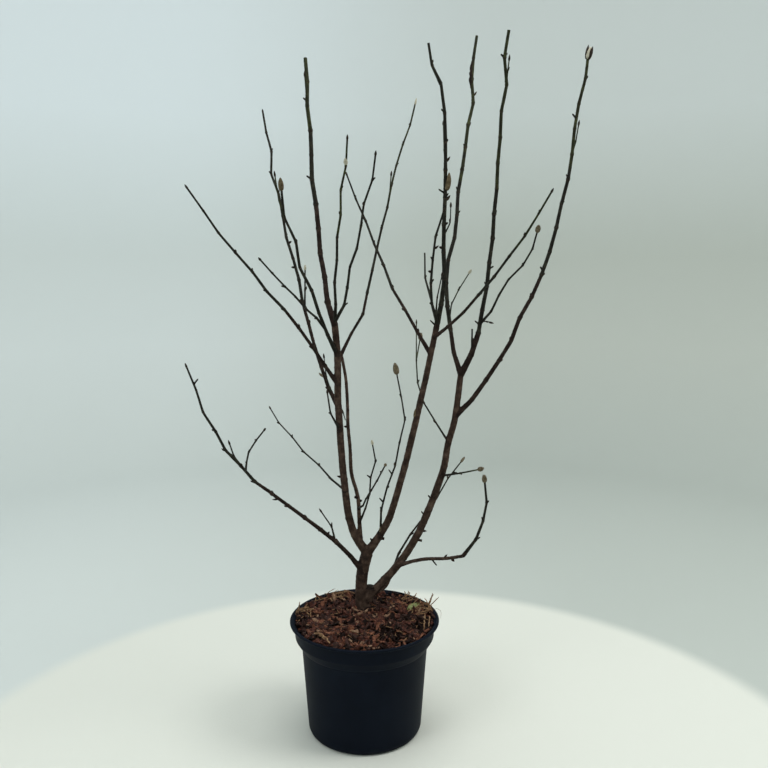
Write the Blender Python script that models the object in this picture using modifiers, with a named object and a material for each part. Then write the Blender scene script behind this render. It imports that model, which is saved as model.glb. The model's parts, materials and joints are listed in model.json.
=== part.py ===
"""A potted star magnolia in winter, bare of leaves, at its real size. Metres, +Z up.

The pot stands on z = 0 with its axis on the z axis. +X is to the right of someone who
looks at the plant from its front, and +Y leads away from them. Every limb is grown from
a few sizes: where it springs from its parent, where its tip is, how it leans on leaving
and at its tip, and how thick it is. Its joints, kinks, buds and side twigs follow from a
rule that is seeded with the limb's name.
"""

import math
import random
from collections import namedtuple

import bmesh
import bpy
from mathutils import Vector, noise

GAP = 0.0003

# Pot: a five-litre nursery pot
POT_HEIGHT = 0.180
RIM_RADIUS = 0.115
COLLAR_TOP_RADIUS = 0.1085
COLLAR_BEND_RADIUS = 0.1070
COLLAR_FOOT_RADIUS = 0.0990
BODY_TOP_RADIUS = 0.0970
BODY_FOOT_RADIUS = 0.088
LIP_HEIGHT = 0.004
BEND_HEIGHT = 0.026
COLLAR_HEIGHT = 0.039
WALL = 0.002
FOOT_ROUNDING = 0.008
POT_STEPS = 56

# Bark mulch that fills the pot
SOIL_TOP = 0.1735
SOIL_RINGS = 6
SOIL_LUMP = 0.0030
LUMPS_PER_METRE = 45
FLAT_SPOT = 0.030
CHIP_COUNT = 40
CHIP_SIZE = (0.020, 0.010, 0.006)
CHIP_SPREAD = 0.094
CHIP_TILT = 0.35

# Trunk: a short leg with a root flare, standing behind the middle of the pot
TRUNK_FOOT = Vector((-0.003, 0.045, SOIL_TOP + GAP))
TRUNK_TOP = (0.0035, 0.045, 0.267)
TRUNK_LEANS = (-14, 18)
TRUNK_GIRTH = 0.019
FLARE = 0.42
FLARE_HEIGHT = 0.008
TRUNK_SIDES = 14
TRUNK_JOINT = 0.0085
TRUNK_SINK = 0.015

# Stub of a stem that was sawn off, in the crotch beside the trunk
STUB_FOOT = (0.0045, 0.045, 0.188)
STUB_TOP = (0.0095, 0.045, 0.2112)
STUB_GIRTH = 0.0145

# Growth rule
INTERNODE = 0.036
KINK = 0.0018
KINK_GIRTH = 0.005
COLLAR = 0.32
COLLAR_GIRTHS = 2.2
BEND_SPAN = 0.055
FORK_REACH = 0.030
SPUR_SHARE = 0.62
SPUR_LENGTH = (0.004, 0.008)
SPUR_LEANS = (24, 42)
SPUR_DIAMETER = 0.0026
TWIG_SHARE = 0.09
TWIG_LENGTH = (0.045, 0.085)
TWIG_DIAMETER = 0.0022
TWIG_ROOM = 0.0025
MASS_ROOM = 0.085
SMOOTH_STEPS = 48

# Buds, as length and thickness
LEAF_BUD = (0.008, 0.0032)
PALE_BUD = (0.012, 0.0055)
FLOWER_BUD = (0.018, 0.0075)
CUT = None

Limb = namedtuple("Limb", "name parent at tip leaves arrives hold girth bough bud")

# name, parent, share of the parent's length where it springs, tip, lean from upright on
# leaving and at the tip in degrees (to the right is positive), how long it holds those
# leans, diameters at base and end, share of its length that is a plain bough before its
# mass of twigs begins, and its bud
LIMBS = [
    Limb("left_stem", "trunk", 1.0, (-0.044, 0.03, 0.63), -62, -10, 0.5, (0.0116, 0.0104), 1.0, CUT),
    Limb("middle_stem", "trunk", 1.0, (0.105, -0.02, 0.627), 48, 15, 0.5, (0.0115, 0.0085), 1.0, CUT),
    Limb("right_stem", "trunk", 0.13, (0.149, 0.06, 0.55), 53, 7, 1.0, (0.013, 0.0095), 1.0, CUT),
    Limb("second_stem", "left_stem", 0.05, (-0.037, 0.08, 0.58), -5, -7, 1.0, (0.0066, 0.0048), 1.0, CUT),
    Limb("low_left", "trunk", 0.67, (-0.24, -0.1, 0.59), -35, -11, 1.5, (0.0074, 0.0026), 0.52, LEAF_BUD),
    Limb("low_right", "right_stem", 0.2, (0.146, -0.05, 0.297), 41, 59, 1.0, (0.0058, 0.005), 1.0, CUT),
    Limb("tall_left", "left_stem", 1.0, (-0.089, 0.1, 1.028), -24, -4, 0.5, (0.008, 0.0055), 0.45, CUT),
    Limb("back_left", "left_stem", 0.657, (-0.168, 0.19, 0.968), -37, -13, 0.5,
         (0.006, 0.0032), 0.36, LEAF_BUD),
    Limb("outer_left", "left_stem", 0.754, (-0.242, -0.06, 0.83), -31, -31, 1.0,
         (0.0058, 0.0026), 0.45, LEAF_BUD),
    Limb("front_left", "left_stem", 0.875, (-0.112, -0.08, 0.837), -26, -13, 1.0,
         (0.0056, 0.0032), 0.0, FLOWER_BUD),
    Limb("front_left_low", "front_left", 0.18, (-0.126, -0.18, 0.732), -29, -26, 1.0,
         (0.0036, 0.0022), 0.0, LEAF_BUD),
    Limb("inner_left", "left_stem", 1.0, (-0.018, -0.08, 0.893), 1, 8, 1.0, (0.0046, 0.0026), 0.0, LEAF_BUD),
    Limb("inner_front", "inner_left", 0.02, (0.021, -0.17, 0.862), 26, 16, 1.0,
         (0.0044, 0.0024), 0.0, LEAF_BUD),
    Limb("inner_back", "second_stem", 1.0, (0.085, 0.2, 0.987), 31, 23, 1.0,
         (0.0048, 0.0026), 0.28, PALE_BUD),
    Limb("stub_left", "left_stem", 0.56, (-0.056, -0.02, 0.539), -60, -35, 1.0,
         (0.0032, 0.0022), 0.0, LEAF_BUD),
    Limb("low_back", "left_stem", 0.3, (-0.165, 0.18, 0.479), -75, -35, 0.5, (0.0032, 0.002), 0.0, LEAF_BUD),
    Limb("low_front", "low_left", 0.59, (-0.125, -0.16, 0.512), -19, 22, 1.0, (0.003, 0.0021), 0.0, LEAF_BUD),
    Limb("low_outer", "low_left", 0.61, (-0.196, -0.05, 0.471), -51, -38, 1.0,
         (0.0026, 0.002), 0.0, LEAF_BUD),
    Limb("low_inner", "low_left", 0.16, (-0.069, 0.02, 0.349), 50, -12, 1.0, (0.0028, 0.002), 0.0, LEAF_BUD),
    Limb("core_left", "second_stem", 0.11, (0.012, -0.03, 0.467), 28, -9, 1.0,
         (0.003, 0.0021), 0.0, LEAF_BUD),
    Limb("core_front", "second_stem", 0.19, (0.033, -0.12, 0.452), 60, 34, 0.5,
         (0.003, 0.0021), 0.0, LEAF_BUD),
    Limb("core_right", "middle_stem", 0.11, (0.044, 0.06, 0.569), 5, -20, 1.5,
         (0.0032, 0.0022), 0.0, FLOWER_BUD),
    Limb("top_middle", "middle_stem", 1.0, (0.107, -0.05, 0.962), 17, -12, 0.5, (0.0068, 0.0042), 0.0, CUT),
    Limb("top_hook", "top_middle", 1.0, (0.089, -0.06, 1.013), -76, -34, 1.0, (0.004, 0.0032), 0.0, CUT),
    Limb("top_front", "top_middle", 0.03, (0.107, -0.15, 0.794), -25, 15, 1.0,
         (0.0042, 0.0026), 0.0, LEAF_BUD),
    Limb("top_short", "top_front", 0.23, (0.088, -0.02, 0.737), -60, 8, 1.0, (0.0028, 0.0022), 0.0, CUT),
    Limb("cross_left", "middle_stem", 0.9, (-0.029, 0.08, 0.86), -32, -23, 1.5,
         (0.0054, 0.0024), 0.4, LEAF_BUD),
    Limb("cross_right", "middle_stem", 0.97, (0.233, -0.2, 0.814), 56, 3, 0.5,
         (0.0048, 0.0024), 0.42, LEAF_BUD),
    Limb("tall_right", "right_stem", 1.0, (0.204, 0.0, 1.044), 39, 7, 0.5, (0.0084, 0.0052), 0.15, CUT),
    Limb("back_right", "right_stem", 1.0, (0.178, 0.18, 1.079), -19, 0, 1.0, (0.0068, 0.0046), 0.14, CUT),
    Limb("outer_right", "right_stem", 0.84, (0.331, 0.06, 1.039), 45, 6, 1.0,
         (0.0072, 0.0042), 0.42, PALE_BUD),
    Limb("front_right", "tall_right", 0.17, (0.234, -0.09, 0.774), 11, -23, 1.0,
         (0.0036, 0.0024), 0.0, PALE_BUD),
    Limb("thin_right", "back_right", 0.16, (0.158, 0.02, 0.714), -28, 15, 1.5,
         (0.0022, 0.0017), 0.0, LEAF_BUD),
    Limb("behind_right", "right_stem", 0.735, (0.091, 0.13, 0.61), -34, 14, 1.5,
         (0.0028, 0.002), 0.0, PALE_BUD),
    Limb("sucker", "right_stem", 0.05, (0.041, 0.068, 0.22), 95, -30, 1.5, (0.0046, 0.004), 1.0, CUT),
    Limb("sucker_end", "sucker", 1.0, (0.166, 0.16, 0.397), 17, 31, 1.0, (0.0038, 0.0021), 0.0, PALE_BUD),
    Limb("side_right", "right_stem", 0.6, (0.178, -0.02, 0.422), 54, 53, 1.0, (0.003, 0.0022), 0.0, PALE_BUD),
    Limb("low_right_end", "low_right", 1.0, (0.17, -0.1, 0.434), 34, 0, 1.5, (0.0048, 0.003), 0.0, PALE_BUD),
]

# Bends that a limb has beside its kinks: share of its length, and metres to the right
BENDS = {
    "left_stem": [(0.3, 0.001), (0.4, 0.001), (0.7, -0.002)],
    "middle_stem": [
        (0.09, -0.001), (0.18, 0.003), (0.27, 0.002), (0.36, 0.002), (0.45, 0.002),
        (0.55, 0.002), (0.64, 0.002), (0.73, 0.002), (0.82, 0.002), (0.91, 0.0015),
    ],
    "right_stem": [
        (0.09, -0.002), (0.36, 0.0015), (0.45, -0.0003), (0.55, 0.0015),
        (0.64, 0.0015), (0.73, -0.001), (0.82, 0.0015), (0.91, 0.0015),
    ],
    "second_stem": [
        (0.12, 0.003), (0.25, 0.002), (0.38, -0.0045),
        (0.5, -0.0035), (0.62, -0.002), (0.88, 0.0045),
    ],
    "low_left": [
        (0.08, 0.003), (0.33, -0.0055), (0.42, -0.0045),
        (0.5, -0.006), (0.75, 0.003), (0.92, 0.0015),
    ],
    "low_right": [(0.25, 0.0018), (0.5, -0.0018), (0.75, 0.0025)],
    "low_front": [(0.25, 0.007)],
    "tall_left": [(0.45, 0.0022), (0.55, -0.0035), (0.64, 0.0015)],
    "back_left": [(0.43, 0.0025), (0.5, 0.0015), (0.57, -0.0025), (0.79, -0.0055), (0.86, 0.002)],
    "outer_left": [(0.2, 0.002), (0.3, 0.003), (0.4, 0.0035), (0.6, 0.002), (0.8, -0.0015)],
    "front_left": [(0.29, 0.003), (0.43, 0.002), (0.57, -0.0035), (0.86, -0.005)],
    "front_left_low": [(0.67, 0.002)],
    "inner_front": [(0.12, 0.004), (0.38, -0.004), (0.75, -0.002), (0.88, 0.0035)],
    "inner_back": [
        (0.17, 0.003), (0.33, -0.004), (0.42, -0.0035),
        (0.5, -0.0045), (0.67, -0.003), (0.92, 0.005),
    ],
    "stub_left": [(0.5, -0.0025)],
    "core_left": [(0.4, -0.004), (0.6, -0.004)],
    "core_front": [(0.33, -0.0055), (0.67, -0.002), (0.83, 0.0025)],
    "core_right": [(0.14, -0.0045), (0.29, -0.002), (0.57, -0.003), (0.86, -0.002)],
    "top_middle": [(0.22, 0.0025), (0.33, -0.0025), (0.44, -0.002), (0.56, -0.002), (0.89, 0.0015)],
    "top_front": [(0.2, -0.002), (0.4, 0.0023)],
    "top_short": [(0.5, 0.003)],
    "cross_left": [(0.12, 0.002), (0.62, 0.0022)],
    "cross_right": [(0.25, -0.0025), (0.5, -0.0025), (0.75, -0.002)],
    "tall_right": [(0.86, 0.0045), (0.93, -0.001)],
    "back_right": [
        (0.27, -0.004), (0.4, 0.0048), (0.47, 0.007), (0.6, 0.0025),
        (0.8, 0.0015), (0.87, -0.004), (0.93, -0.006),
    ],
    "outer_right": [(0.19, -0.002), (0.31, -0.0065), (0.5, 0.0028), (0.81, -0.005), (0.88, -0.0025)],
    "front_right": [(0.17, 0.005), (0.33, 0.002), (0.5, -0.0055), (0.83, -0.0025)],
    "thin_right": [(0.33, 0.006), (0.67, 0.0025)],
    "sucker_end": [(0.5, 0.004), (0.83, -0.002)],
    "low_right_end": [(0.25, -0.0013), (0.5, 0.0015), (0.75, 0.0015)],
}

Rod = namedtuple("Rod", "points radii sides")


def clear_scene():
    for leftover in list(bpy.data.objects):
        bpy.data.objects.remove(leftover)


def new_collection(name):
    made = bpy.data.collections.new(name)
    bpy.context.scene.collection.children.link(made)
    return made


def move_to(made, home):
    for owner in list(made.users_collection):
        owner.objects.unlink(made)
    home.objects.link(made)


def material(name, colour, roughness):
    made = bpy.data.materials.new(name)
    made.use_nodes = True
    shader = made.node_tree.nodes["Principled BSDF"]
    shader.inputs["Base Color"].default_value = (*colour, 1.0)
    shader.inputs["Roughness"].default_value = roughness
    shader.inputs["Metallic"].default_value = 0.0
    return made


# Growth: lines, joints and radii


def lean_vector(degrees):
    return Vector((math.sin(math.radians(degrees)), 0.0, math.cos(math.radians(degrees))))


def smooth_line(start, tip, leaves, arrives, hold=1.0):
    """Points of a cubic that leaves its start and reaches its tip at the two leans."""
    span = tip - start
    pull = math.hypot(span.x, span.z) * hold
    depth = Vector((0.0, span.y, 0.0))
    out = lean_vector(leaves) * pull + depth
    into = lean_vector(arrives) * pull + depth
    points = []
    for step in range(SMOOTH_STEPS + 1):
        t = step / SMOOTH_STEPS
        near = 2 * t**3 - 3 * t**2 + 1
        points.append(start * near + tip * (1 - near) + out * (t**3 - 2 * t**2 + t) + into * (t**3 - t**2))
    return points


def line_length(points):
    return sum((b - a).length for a, b in zip(points, points[1:]))


def place_on(points, distance):
    """The point that far along a line, and the line's direction there."""
    left = distance
    for a, b in zip(points, points[1:]):
        step = (b - a).length
        if left <= step:
            return a.lerp(b, left / step), (b - a).normalized()
        left -= step
    return points[-1].copy(), (points[-1] - points[-2]).normalized()


def across(direction, turn):
    """A unit vector square to a direction, turned about it."""
    side = direction.cross(Vector((0.0, 1.0, 0.0))).normalized()
    other = direction.cross(side)
    return side * math.cos(turn) + other * math.sin(turn)


def bend_at(name, share, ahead):
    """How far a limb's bends push it aside at a share of its length."""
    push = sum(side * max(0.0, 1 - abs(share - place) / BEND_SPAN) for place, side in BENDS.get(name, []))
    return Vector((ahead.z, 0.0, -ahead.x)).normalized() * push


def kinked_joints(name, line, end, spacing, kink):
    """Joints along a line up to a distance, each pushed a little to alternate sides."""
    dice = random.Random(name)
    swing = dice.uniform(0, math.tau)
    count = max(2, round(end / spacing))
    joints = []
    for index in range(count + 1):
        point, ahead = place_on(line, end * index / count)
        if 0 < index < count:
            point += across(ahead, swing + index * math.pi) * kink * dice.uniform(0.5, 1.3)
            point += bend_at(name, index / count, ahead)
        joints.append(point)
    return joints


def taper(limb, joints):
    """Radius at each joint: an even taper with a swollen collar at the base."""
    total = line_length(joints)
    radii = []
    for index in range(len(joints)):
        done = line_length(joints[: index + 1])
        plain = limb.girth[0] + (limb.girth[1] - limb.girth[0]) * done / total
        radii.append(plain / 2 * (1 + COLLAR * math.exp(-done / (COLLAR_GIRTHS * limb.girth[0]))))
    return radii


def flared(joints, girth):
    """Radius at each joint of the trunk, with its root flare."""
    radii = []
    for joint in joints:
        height = joint.z - joints[0].z
        radii.append(girth / 2 * (1 + FLARE * math.exp(-height / FLARE_HEIGHT)))
    return radii


def grow_trunk():
    line = smooth_line(TRUNK_FOOT, Vector(TRUNK_TOP), *TRUNK_LEANS)
    joints = kinked_joints("trunk", line, line_length(line), TRUNK_JOINT, KINK / 3)
    return joints, flared(joints, TRUNK_GIRTH)


def grow_limbs():
    """Joints and radii of every limb, and where each one's bough ends."""
    joints, radii, split = {}, {}, {}
    joints["trunk"], radii["trunk"] = grow_trunk()
    split["trunk"] = len(joints["trunk"]) - 1
    for limb in LIMBS:
        parent = joints[limb.parent]
        start, _ = place_on(parent, line_length(parent) * limb.at)
        line = smooth_line(start, Vector(limb.tip), limb.leaves, limb.arrives, limb.hold)
        bud = limb.bud[0] if limb.bud else 0.0
        kink = KINK * min(1.0, KINK_GIRTH / limb.girth[0])
        grown = kinked_joints(limb.name, line, line_length(line) - bud, INTERNODE, kink)
        joints[limb.name] = grown
        radii[limb.name] = taper(limb, grown)
        split[limb.name] = round(limb.bough * (len(grown) - 1))
    return joints, radii, split


def trunk_rod(joints, radii):
    """The trunk, started a little lower than the ground that it is cut level with."""
    below = joints[0] - (joints[1] - joints[0]).normalized() * TRUNK_SINK
    return Rod([below] + joints, [radii[0]] + radii, TRUNK_SIDES)


def sides_for(radius):
    if radius > 0.0036:
        return 8
    return 6 if radius > 0.0016 else 5


def bud_rings(tip, ahead, bud):
    """Rings of a bud that sits on a tip: points and radii."""
    length, width = bud
    shape = [(0.32, 0.50), (0.66, 0.43), (1.0, 0.12)]
    return [tip + ahead * length * along for along, _ in shape], [width * wide for _, wide in shape]


def limb_rod(limb, joints, radii, first, last):
    """A stretch of a limb as a rod, with its bud if it runs to the tip."""
    points = list(joints[first : last + 1])
    sizes = list(radii[first : last + 1])
    sunk = (points[1] - points[0]).normalized() * sizes[0]
    points[0] = points[0] - sunk
    sides = sides_for(sizes[len(sizes) // 2])
    if limb.bud and last == len(joints) - 1:
        ahead = (points[-1] - points[-2]).normalized()
        more, wide = bud_rings(points[-1], ahead, limb.bud)
        points += more
        sizes += wide
    return Rod(points, sizes, sides)


# The rule for side twigs and spurs


def distance_to(point, a, b):
    along = b - a
    t = max(0.0, min(1.0, (point - a).dot(along) / along.length_squared))
    return (point - a - along * t).length


def is_free(points, taken, own):
    """True if a twig stays clear of everything that is already there but its own limb."""
    for name, a, b, radius in taken:
        if name == own:
            continue
        for point in points[1:]:
            if distance_to(point, a, b) < radius + TWIG_ROOM:
                return False
    return True


def spur(joint, ahead, turn, radius, dice):
    """A short pointed spur that stands out of its limb's skin, leaning forward."""
    lean = math.radians(dice.uniform(*SPUR_LEANS))
    way = ahead * math.cos(lean) + across(ahead, turn) * math.sin(lean)
    length = radius / math.sin(lean) * 0.8 + dice.uniform(*SPUR_LENGTH)
    thick = SPUR_DIAMETER / 2
    points = [joint, joint + way * length * 0.6, joint + way * length]
    return Rod(points, [thick * 1.1, thick, thick * 0.3], 4)


def side_twig(joint, ahead, turn, dice):
    """A longer twig that curves up from its limb and ends in a bud."""
    depth = Vector((0.0, math.copysign(1.0, math.cos(turn)), 0.25))
    way = (ahead * 0.55 + depth.normalized() * 0.8).normalized()
    length = dice.uniform(*TWIG_LENGTH)
    thick = TWIG_DIAMETER / 2
    middle = joint + way * length * 0.5
    rise = (way + Vector((0.0, 0.0, 0.7))).normalized()
    tip = middle + rise * length * 0.5
    more, wide = bud_rings(tip, rise, LEAF_BUD)
    return Rod([joint, middle, tip] + more, [thick, thick * 0.9, thick * 0.8] + wide, 4)


def side_growth(limb, joints, radii, first, taken):
    """The spurs and side twigs of a limb's mass, one chance at each joint."""
    dice = random.Random(limb.name + " twigs")
    base = joints[first]
    turn = dice.uniform(0, math.tau)
    grown = []
    for index in range(first + 1, len(joints) - 1):
        ahead = (joints[index + 1] - joints[index - 1]).normalized()
        turn += math.pi + dice.uniform(-0.8, 0.8)
        chance = dice.random()
        if chance < TWIG_SHARE:
            rod = side_twig(joints[index], ahead, turn, dice)
        elif chance < TWIG_SHARE + SPUR_SHARE:
            rod = spur(joints[index], ahead, turn, radii[index], dice)
        else:
            continue
        room = distance_to(rod.points[-1], base, joints[-1])
        if room > MASS_ROOM or not is_free(rod.points, taken, limb.name):
            continue
        grown.append(rod)
        taken += [(limb.name + "+", a, b, TWIG_DIAMETER / 2) for a, b in zip(rod.points, rod.points[1:])]
    return grown


# Meshes


def ring_profile(sides, helpers):
    """A regular outline of radius 1 that limbs are swept with."""
    name = f"outline_{sides}"
    if name in bpy.data.objects:
        return bpy.data.objects[name]
    curve = bpy.data.curves.new(name, "CURVE")
    curve.dimensions = "2D"
    spline = curve.splines.new("POLY")
    spline.points.add(sides - 1)
    for index, point in enumerate(spline.points):
        angle = math.tau * index / sides
        point.co = (math.cos(angle), math.sin(angle), 0.0, 1.0)
    spline.use_cyclic_u = True
    made = bpy.data.objects.new(name, curve)
    made.hide_render = True
    made.display_type = "WIRE"
    helpers.objects.link(made)
    return made


def evaluated_mesh(source):
    graph = bpy.context.evaluated_depsgraph_get()
    return bpy.data.meshes.new_from_object(source.evaluated_get(graph))


def face_outward(mesh):
    shape = bmesh.new()
    shape.from_mesh(mesh)
    bmesh.ops.remove_doubles(shape, verts=shape.verts, dist=0.00001)
    bmesh.ops.recalc_face_normals(shape, faces=shape.faces)
    shape.to_mesh(mesh)
    shape.free()


def rod_object(name, rod, home, helpers):
    """A swept, tapered tube with closed ends."""
    curve = bpy.data.curves.new(name, "CURVE")
    curve.dimensions = "3D"
    curve.bevel_mode = "OBJECT"
    curve.bevel_object = ring_profile(rod.sides, helpers)
    curve.use_fill_caps = True
    spline = curve.splines.new("POLY")
    spline.points.add(len(rod.points) - 1)
    for point, place, radius in zip(spline.points, rod.points, rod.radii):
        point.co = (*place, 1.0)
        point.radius = radius
    swept = bpy.data.objects.new(name + "_curve", curve)
    home.objects.link(swept)
    mesh = evaluated_mesh(swept)
    bpy.data.objects.remove(swept)
    face_outward(mesh)
    made = bpy.data.objects.new(name, mesh)
    home.objects.link(made)
    return made


def drop_scraps(mesh):
    """Keeps the largest connected piece of a mesh."""
    shape = bmesh.new()
    shape.from_mesh(mesh)
    left = set(shape.verts)
    islands = []
    while left:
        stack = [left.pop()]
        island = set(stack)
        while stack:
            for edge in stack.pop().link_edges:
                for vert in edge.verts:
                    if vert not in island:
                        island.add(vert)
                        stack.append(vert)
        left -= island
        islands.append(island)
    keep = max(islands, key=len)
    bmesh.ops.delete(shape, geom=[v for v in shape.verts if v not in keep], context="VERTS")
    shape.to_mesh(mesh)
    shape.free()


def combine(target, others, operation):
    """Joins others to the target, or cuts them from it, in one Boolean, and removes them."""
    if not others:
        return
    operands = new_collection(target.name + "_operands")
    for other in others:
        move_to(other, operands)
    step = target.modifiers.new("combine", "BOOLEAN")
    step.operation = operation
    step.operand_type = "COLLECTION"
    step.collection = operands
    mesh = evaluated_mesh(target)
    target.modifiers.clear()
    target.data = mesh
    for other in list(operands.objects):
        bpy.data.objects.remove(other)
    bpy.data.collections.remove(operands)
    drop_scraps(target.data)


def swollen(rod):
    """The same rod, grown by the gap on its flanks and at its far end."""
    points = list(rod.points)
    points[-1] = points[-1] + (points[-1] - points[-2]).normalized() * GAP
    return Rod(points, [radius + GAP * 1.15 for radius in rod.radii], rod.sides)


# Sub-parts


def make_pot(home):
    """An open shell turned from its profile."""
    collar_foot = POT_HEIGHT - COLLAR_HEIGHT
    rounding = []
    for step in range(5):
        angle = math.radians(90 * step / 4)
        rounding.append(
            (
                BODY_FOOT_RADIUS - FOOT_ROUNDING * (1 - math.cos(angle)),
                FOOT_ROUNDING * (1 - math.sin(angle)),
            )
        )
    outer = [
        (RIM_RADIUS - WALL / 2, POT_HEIGHT),
        (RIM_RADIUS, POT_HEIGHT - WALL / 2),
        (RIM_RADIUS, POT_HEIGHT - LIP_HEIGHT),
        (COLLAR_TOP_RADIUS, POT_HEIGHT - LIP_HEIGHT - WALL),
        (COLLAR_BEND_RADIUS, POT_HEIGHT - BEND_HEIGHT),
        (COLLAR_FOOT_RADIUS, collar_foot),
        (BODY_TOP_RADIUS, collar_foot - WALL),
    ]
    inner = inner_wall() + [(RIM_RADIUS - 2 * WALL, POT_HEIGHT)]
    profile = outer + rounding + [(0.0, 0.0), (0.0, WALL)] + inner
    return turned("pot", profile, POT_STEPS, home, closed=True)


def turned(name, profile, steps, home, closed):
    """Turns a profile of radii and heights round the z axis."""
    mesh = bpy.data.meshes.new(name)
    points = [(radius, 0.0, height) for radius, height in profile]
    edges = [(index, index + 1) for index in range(len(points) - 1)]
    if closed:
        edges.append((len(points) - 1, 0))
    mesh.from_pydata(points, edges, [])
    made = bpy.data.objects.new(name, mesh)
    home.objects.link(made)
    screw = made.modifiers.new("turn", "SCREW")
    screw.axis = "Z"
    screw.steps = steps
    screw.render_steps = steps
    screw.use_merge_vertices = True
    screw.merge_threshold = 0.0001
    made.data = evaluated_mesh(made)
    made.modifiers.clear()
    face_outward(made.data)
    return made


def inner_wall():
    """Radii and heights of the pot's inside, from its floor up to its lip."""
    collar_foot = POT_HEIGHT - COLLAR_HEIGHT
    return [
        (BODY_FOOT_RADIUS - FOOT_ROUNDING, WALL),
        (BODY_FOOT_RADIUS - WALL, FOOT_ROUNDING),
        (BODY_TOP_RADIUS - WALL, collar_foot),
        (COLLAR_FOOT_RADIUS - WALL, collar_foot + WALL),
        (COLLAR_BEND_RADIUS - WALL, POT_HEIGHT - BEND_HEIGHT + WALL),
        (COLLAR_TOP_RADIUS - WALL, POT_HEIGHT - LIP_HEIGHT),
    ]


def soil_wall():
    """The pot's inside again, a gap inwards, from the mulch's edge down to the floor."""
    *lower, corner, lip = inner_wall()
    share = (SOIL_TOP - corner[1]) / (lip[1] - corner[1])
    edge = corner[0] + (lip[0] - corner[0]) * share
    wall = [(edge, SOIL_TOP), corner] + lower[::-1]
    wall = [(radius - 2 * GAP, height) for radius, height in wall]
    wall[-1] = (wall[-1][0], WALL + GAP)
    return wall


def lump(x, y):
    """Height of the mulch over its level, nil under the trunk."""
    away = math.hypot(x - TRUNK_FOOT.x, y - TRUNK_FOOT.y)
    ease = max(0.0, min(1.0, (away - FLAT_SPOT) / FLAT_SPOT))
    return SOIL_LUMP * ease * noise.noise(Vector((x, y, 0.0)) * LUMPS_PER_METRE)


def make_mulch(home):
    """The filling of the pot, with a lumpy top and some larger chips."""
    wall = soil_wall()
    edge = wall[0][0]
    profile = [(edge * ring / SOIL_RINGS, SOIL_TOP) for ring in range(SOIL_RINGS)]
    profile += wall + [(0.0, WALL + GAP)]
    made = turned("bark_mulch", profile, POT_STEPS, home, closed=False)
    inside = edge * (SOIL_RINGS - 0.5) / SOIL_RINGS
    for vert in made.data.vertices:
        if vert.co.z > SOIL_TOP - GAP and math.hypot(vert.co.x, vert.co.y) < inside:
            vert.co.z += lump(vert.co.x, vert.co.y)
    chips = [make_chip(index, home) for index in range(CHIP_COUNT)]
    return made, chips


def make_chip(index, home):
    """One chip of bark, half sunk in the mulch."""
    dice = random.Random(f"chip {index}")
    while True:
        radius = CHIP_SPREAD * math.sqrt(dice.random())
        angle = dice.uniform(0, math.tau)
        x, y = radius * math.cos(angle), radius * math.sin(angle)
        if math.hypot(x - TRUNK_FOOT.x, y - TRUNK_FOOT.y) > FLAT_SPOT + CHIP_SIZE[0] / 2:
            break
    bpy.ops.mesh.primitive_cube_add(size=1.0, location=(x, y, SOIL_TOP + lump(x, y)))
    made = bpy.context.object
    made.name = f"chip_{index}"
    made.scale = [side * dice.uniform(0.7, 1.1) for side in CHIP_SIZE]
    tilts = [dice.uniform(-CHIP_TILT, CHIP_TILT) for _ in range(2)]
    made.rotation_euler = (*tilts, dice.uniform(0, math.pi))
    move_to(made, home)
    return made


def finish(made, base, paint, root):
    """Puts an object's origin at its base, and gives it its material, shading and parent."""
    made.data.transform(made.matrix_world)
    made.matrix_world.identity()
    shift = Vector(base)
    for vert in made.data.vertices:
        vert.co -= shift
    made.location = shift
    made.data.materials.clear()
    made.data.materials.append(paint)
    made.data.shade_smooth()
    made.data.set_sharp_from_angle(angle=math.radians(40))
    made.parent = root


def owner_of(limb, split, joints, owners):
    """The mass that a limb belongs to: its parent's if it springs from that mass."""
    if limb.parent == "trunk" or limb.at * (len(joints[limb.parent]) - 1) < split[limb.parent]:
        return limb.name
    if split[limb.parent] == len(joints[limb.parent]) - 1:
        return limb.name
    return owners[limb.parent]


def all_rods(joints, radii, split):
    """The rods of each node in order, and which rods each node must be cut clear of."""
    trunk = trunk_rod(joints["trunk"], radii["trunk"])
    stub = Rod([Vector(STUB_FOOT), Vector(STUB_TOP)], [STUB_GIRTH / 2, STUB_GIRTH / 2.2], TRUNK_SIDES)
    nodes = {"trunk": [trunk, stub]}
    fits = {"trunk": []}
    roots = [(joints["trunk"][-1], trunk), (stub.points[0], stub)]
    owners = {}
    carriers = {"trunk": trunk}
    for limb in LIMBS:
        line, sizes = joints[limb.name], radii[limb.name]
        last, cut = len(line) - 1, split[limb.name]
        owners[limb.name] = owner_of(limb, split, joints, owners)
        base = line[0]
        beside = [rod for place, rod in roots if (place - base).length < FORK_REACH]
        if owners[limb.name] != limb.name:
            nodes[owners[limb.name] + "_twigs"].append(limb_rod(limb, line, sizes, 0, last))
            continue
        whole = limb.bough == 1.0
        if cut > 0:
            name = limb.name if whole else limb.name + "_bough"
            bough = limb_rod(limb, line, sizes, 0, cut)
            nodes[name] = [bough]
            fits[name] = beside + [carriers[limb.parent]]
            roots.append((base, bough))
            carriers[limb.name] = bough
        if cut < last:
            name = limb.name + "_twigs"
            stem = limb_rod(limb, line, sizes, cut, last)
            nodes[name] = [stem]
            fits[name] = [carriers[limb.name]] if cut > 0 else beside + [carriers[limb.parent]]
            if cut == 0:
                roots.append((base, stem))
    return nodes, fits, owners


def add_side_growth(nodes, owners, joints, radii, split):
    taken = []
    for name, line in joints.items():
        taken += [(name, a, b, radius) for a, b, radius in zip(line, line[1:], radii[name])]
    for limb in LIMBS:
        if limb.bough < 1.0:
            mass = owners[limb.name] + "_twigs"
            nodes[mass] += side_growth(limb, joints[limb.name], radii[limb.name], split[limb.name], taken)


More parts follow.
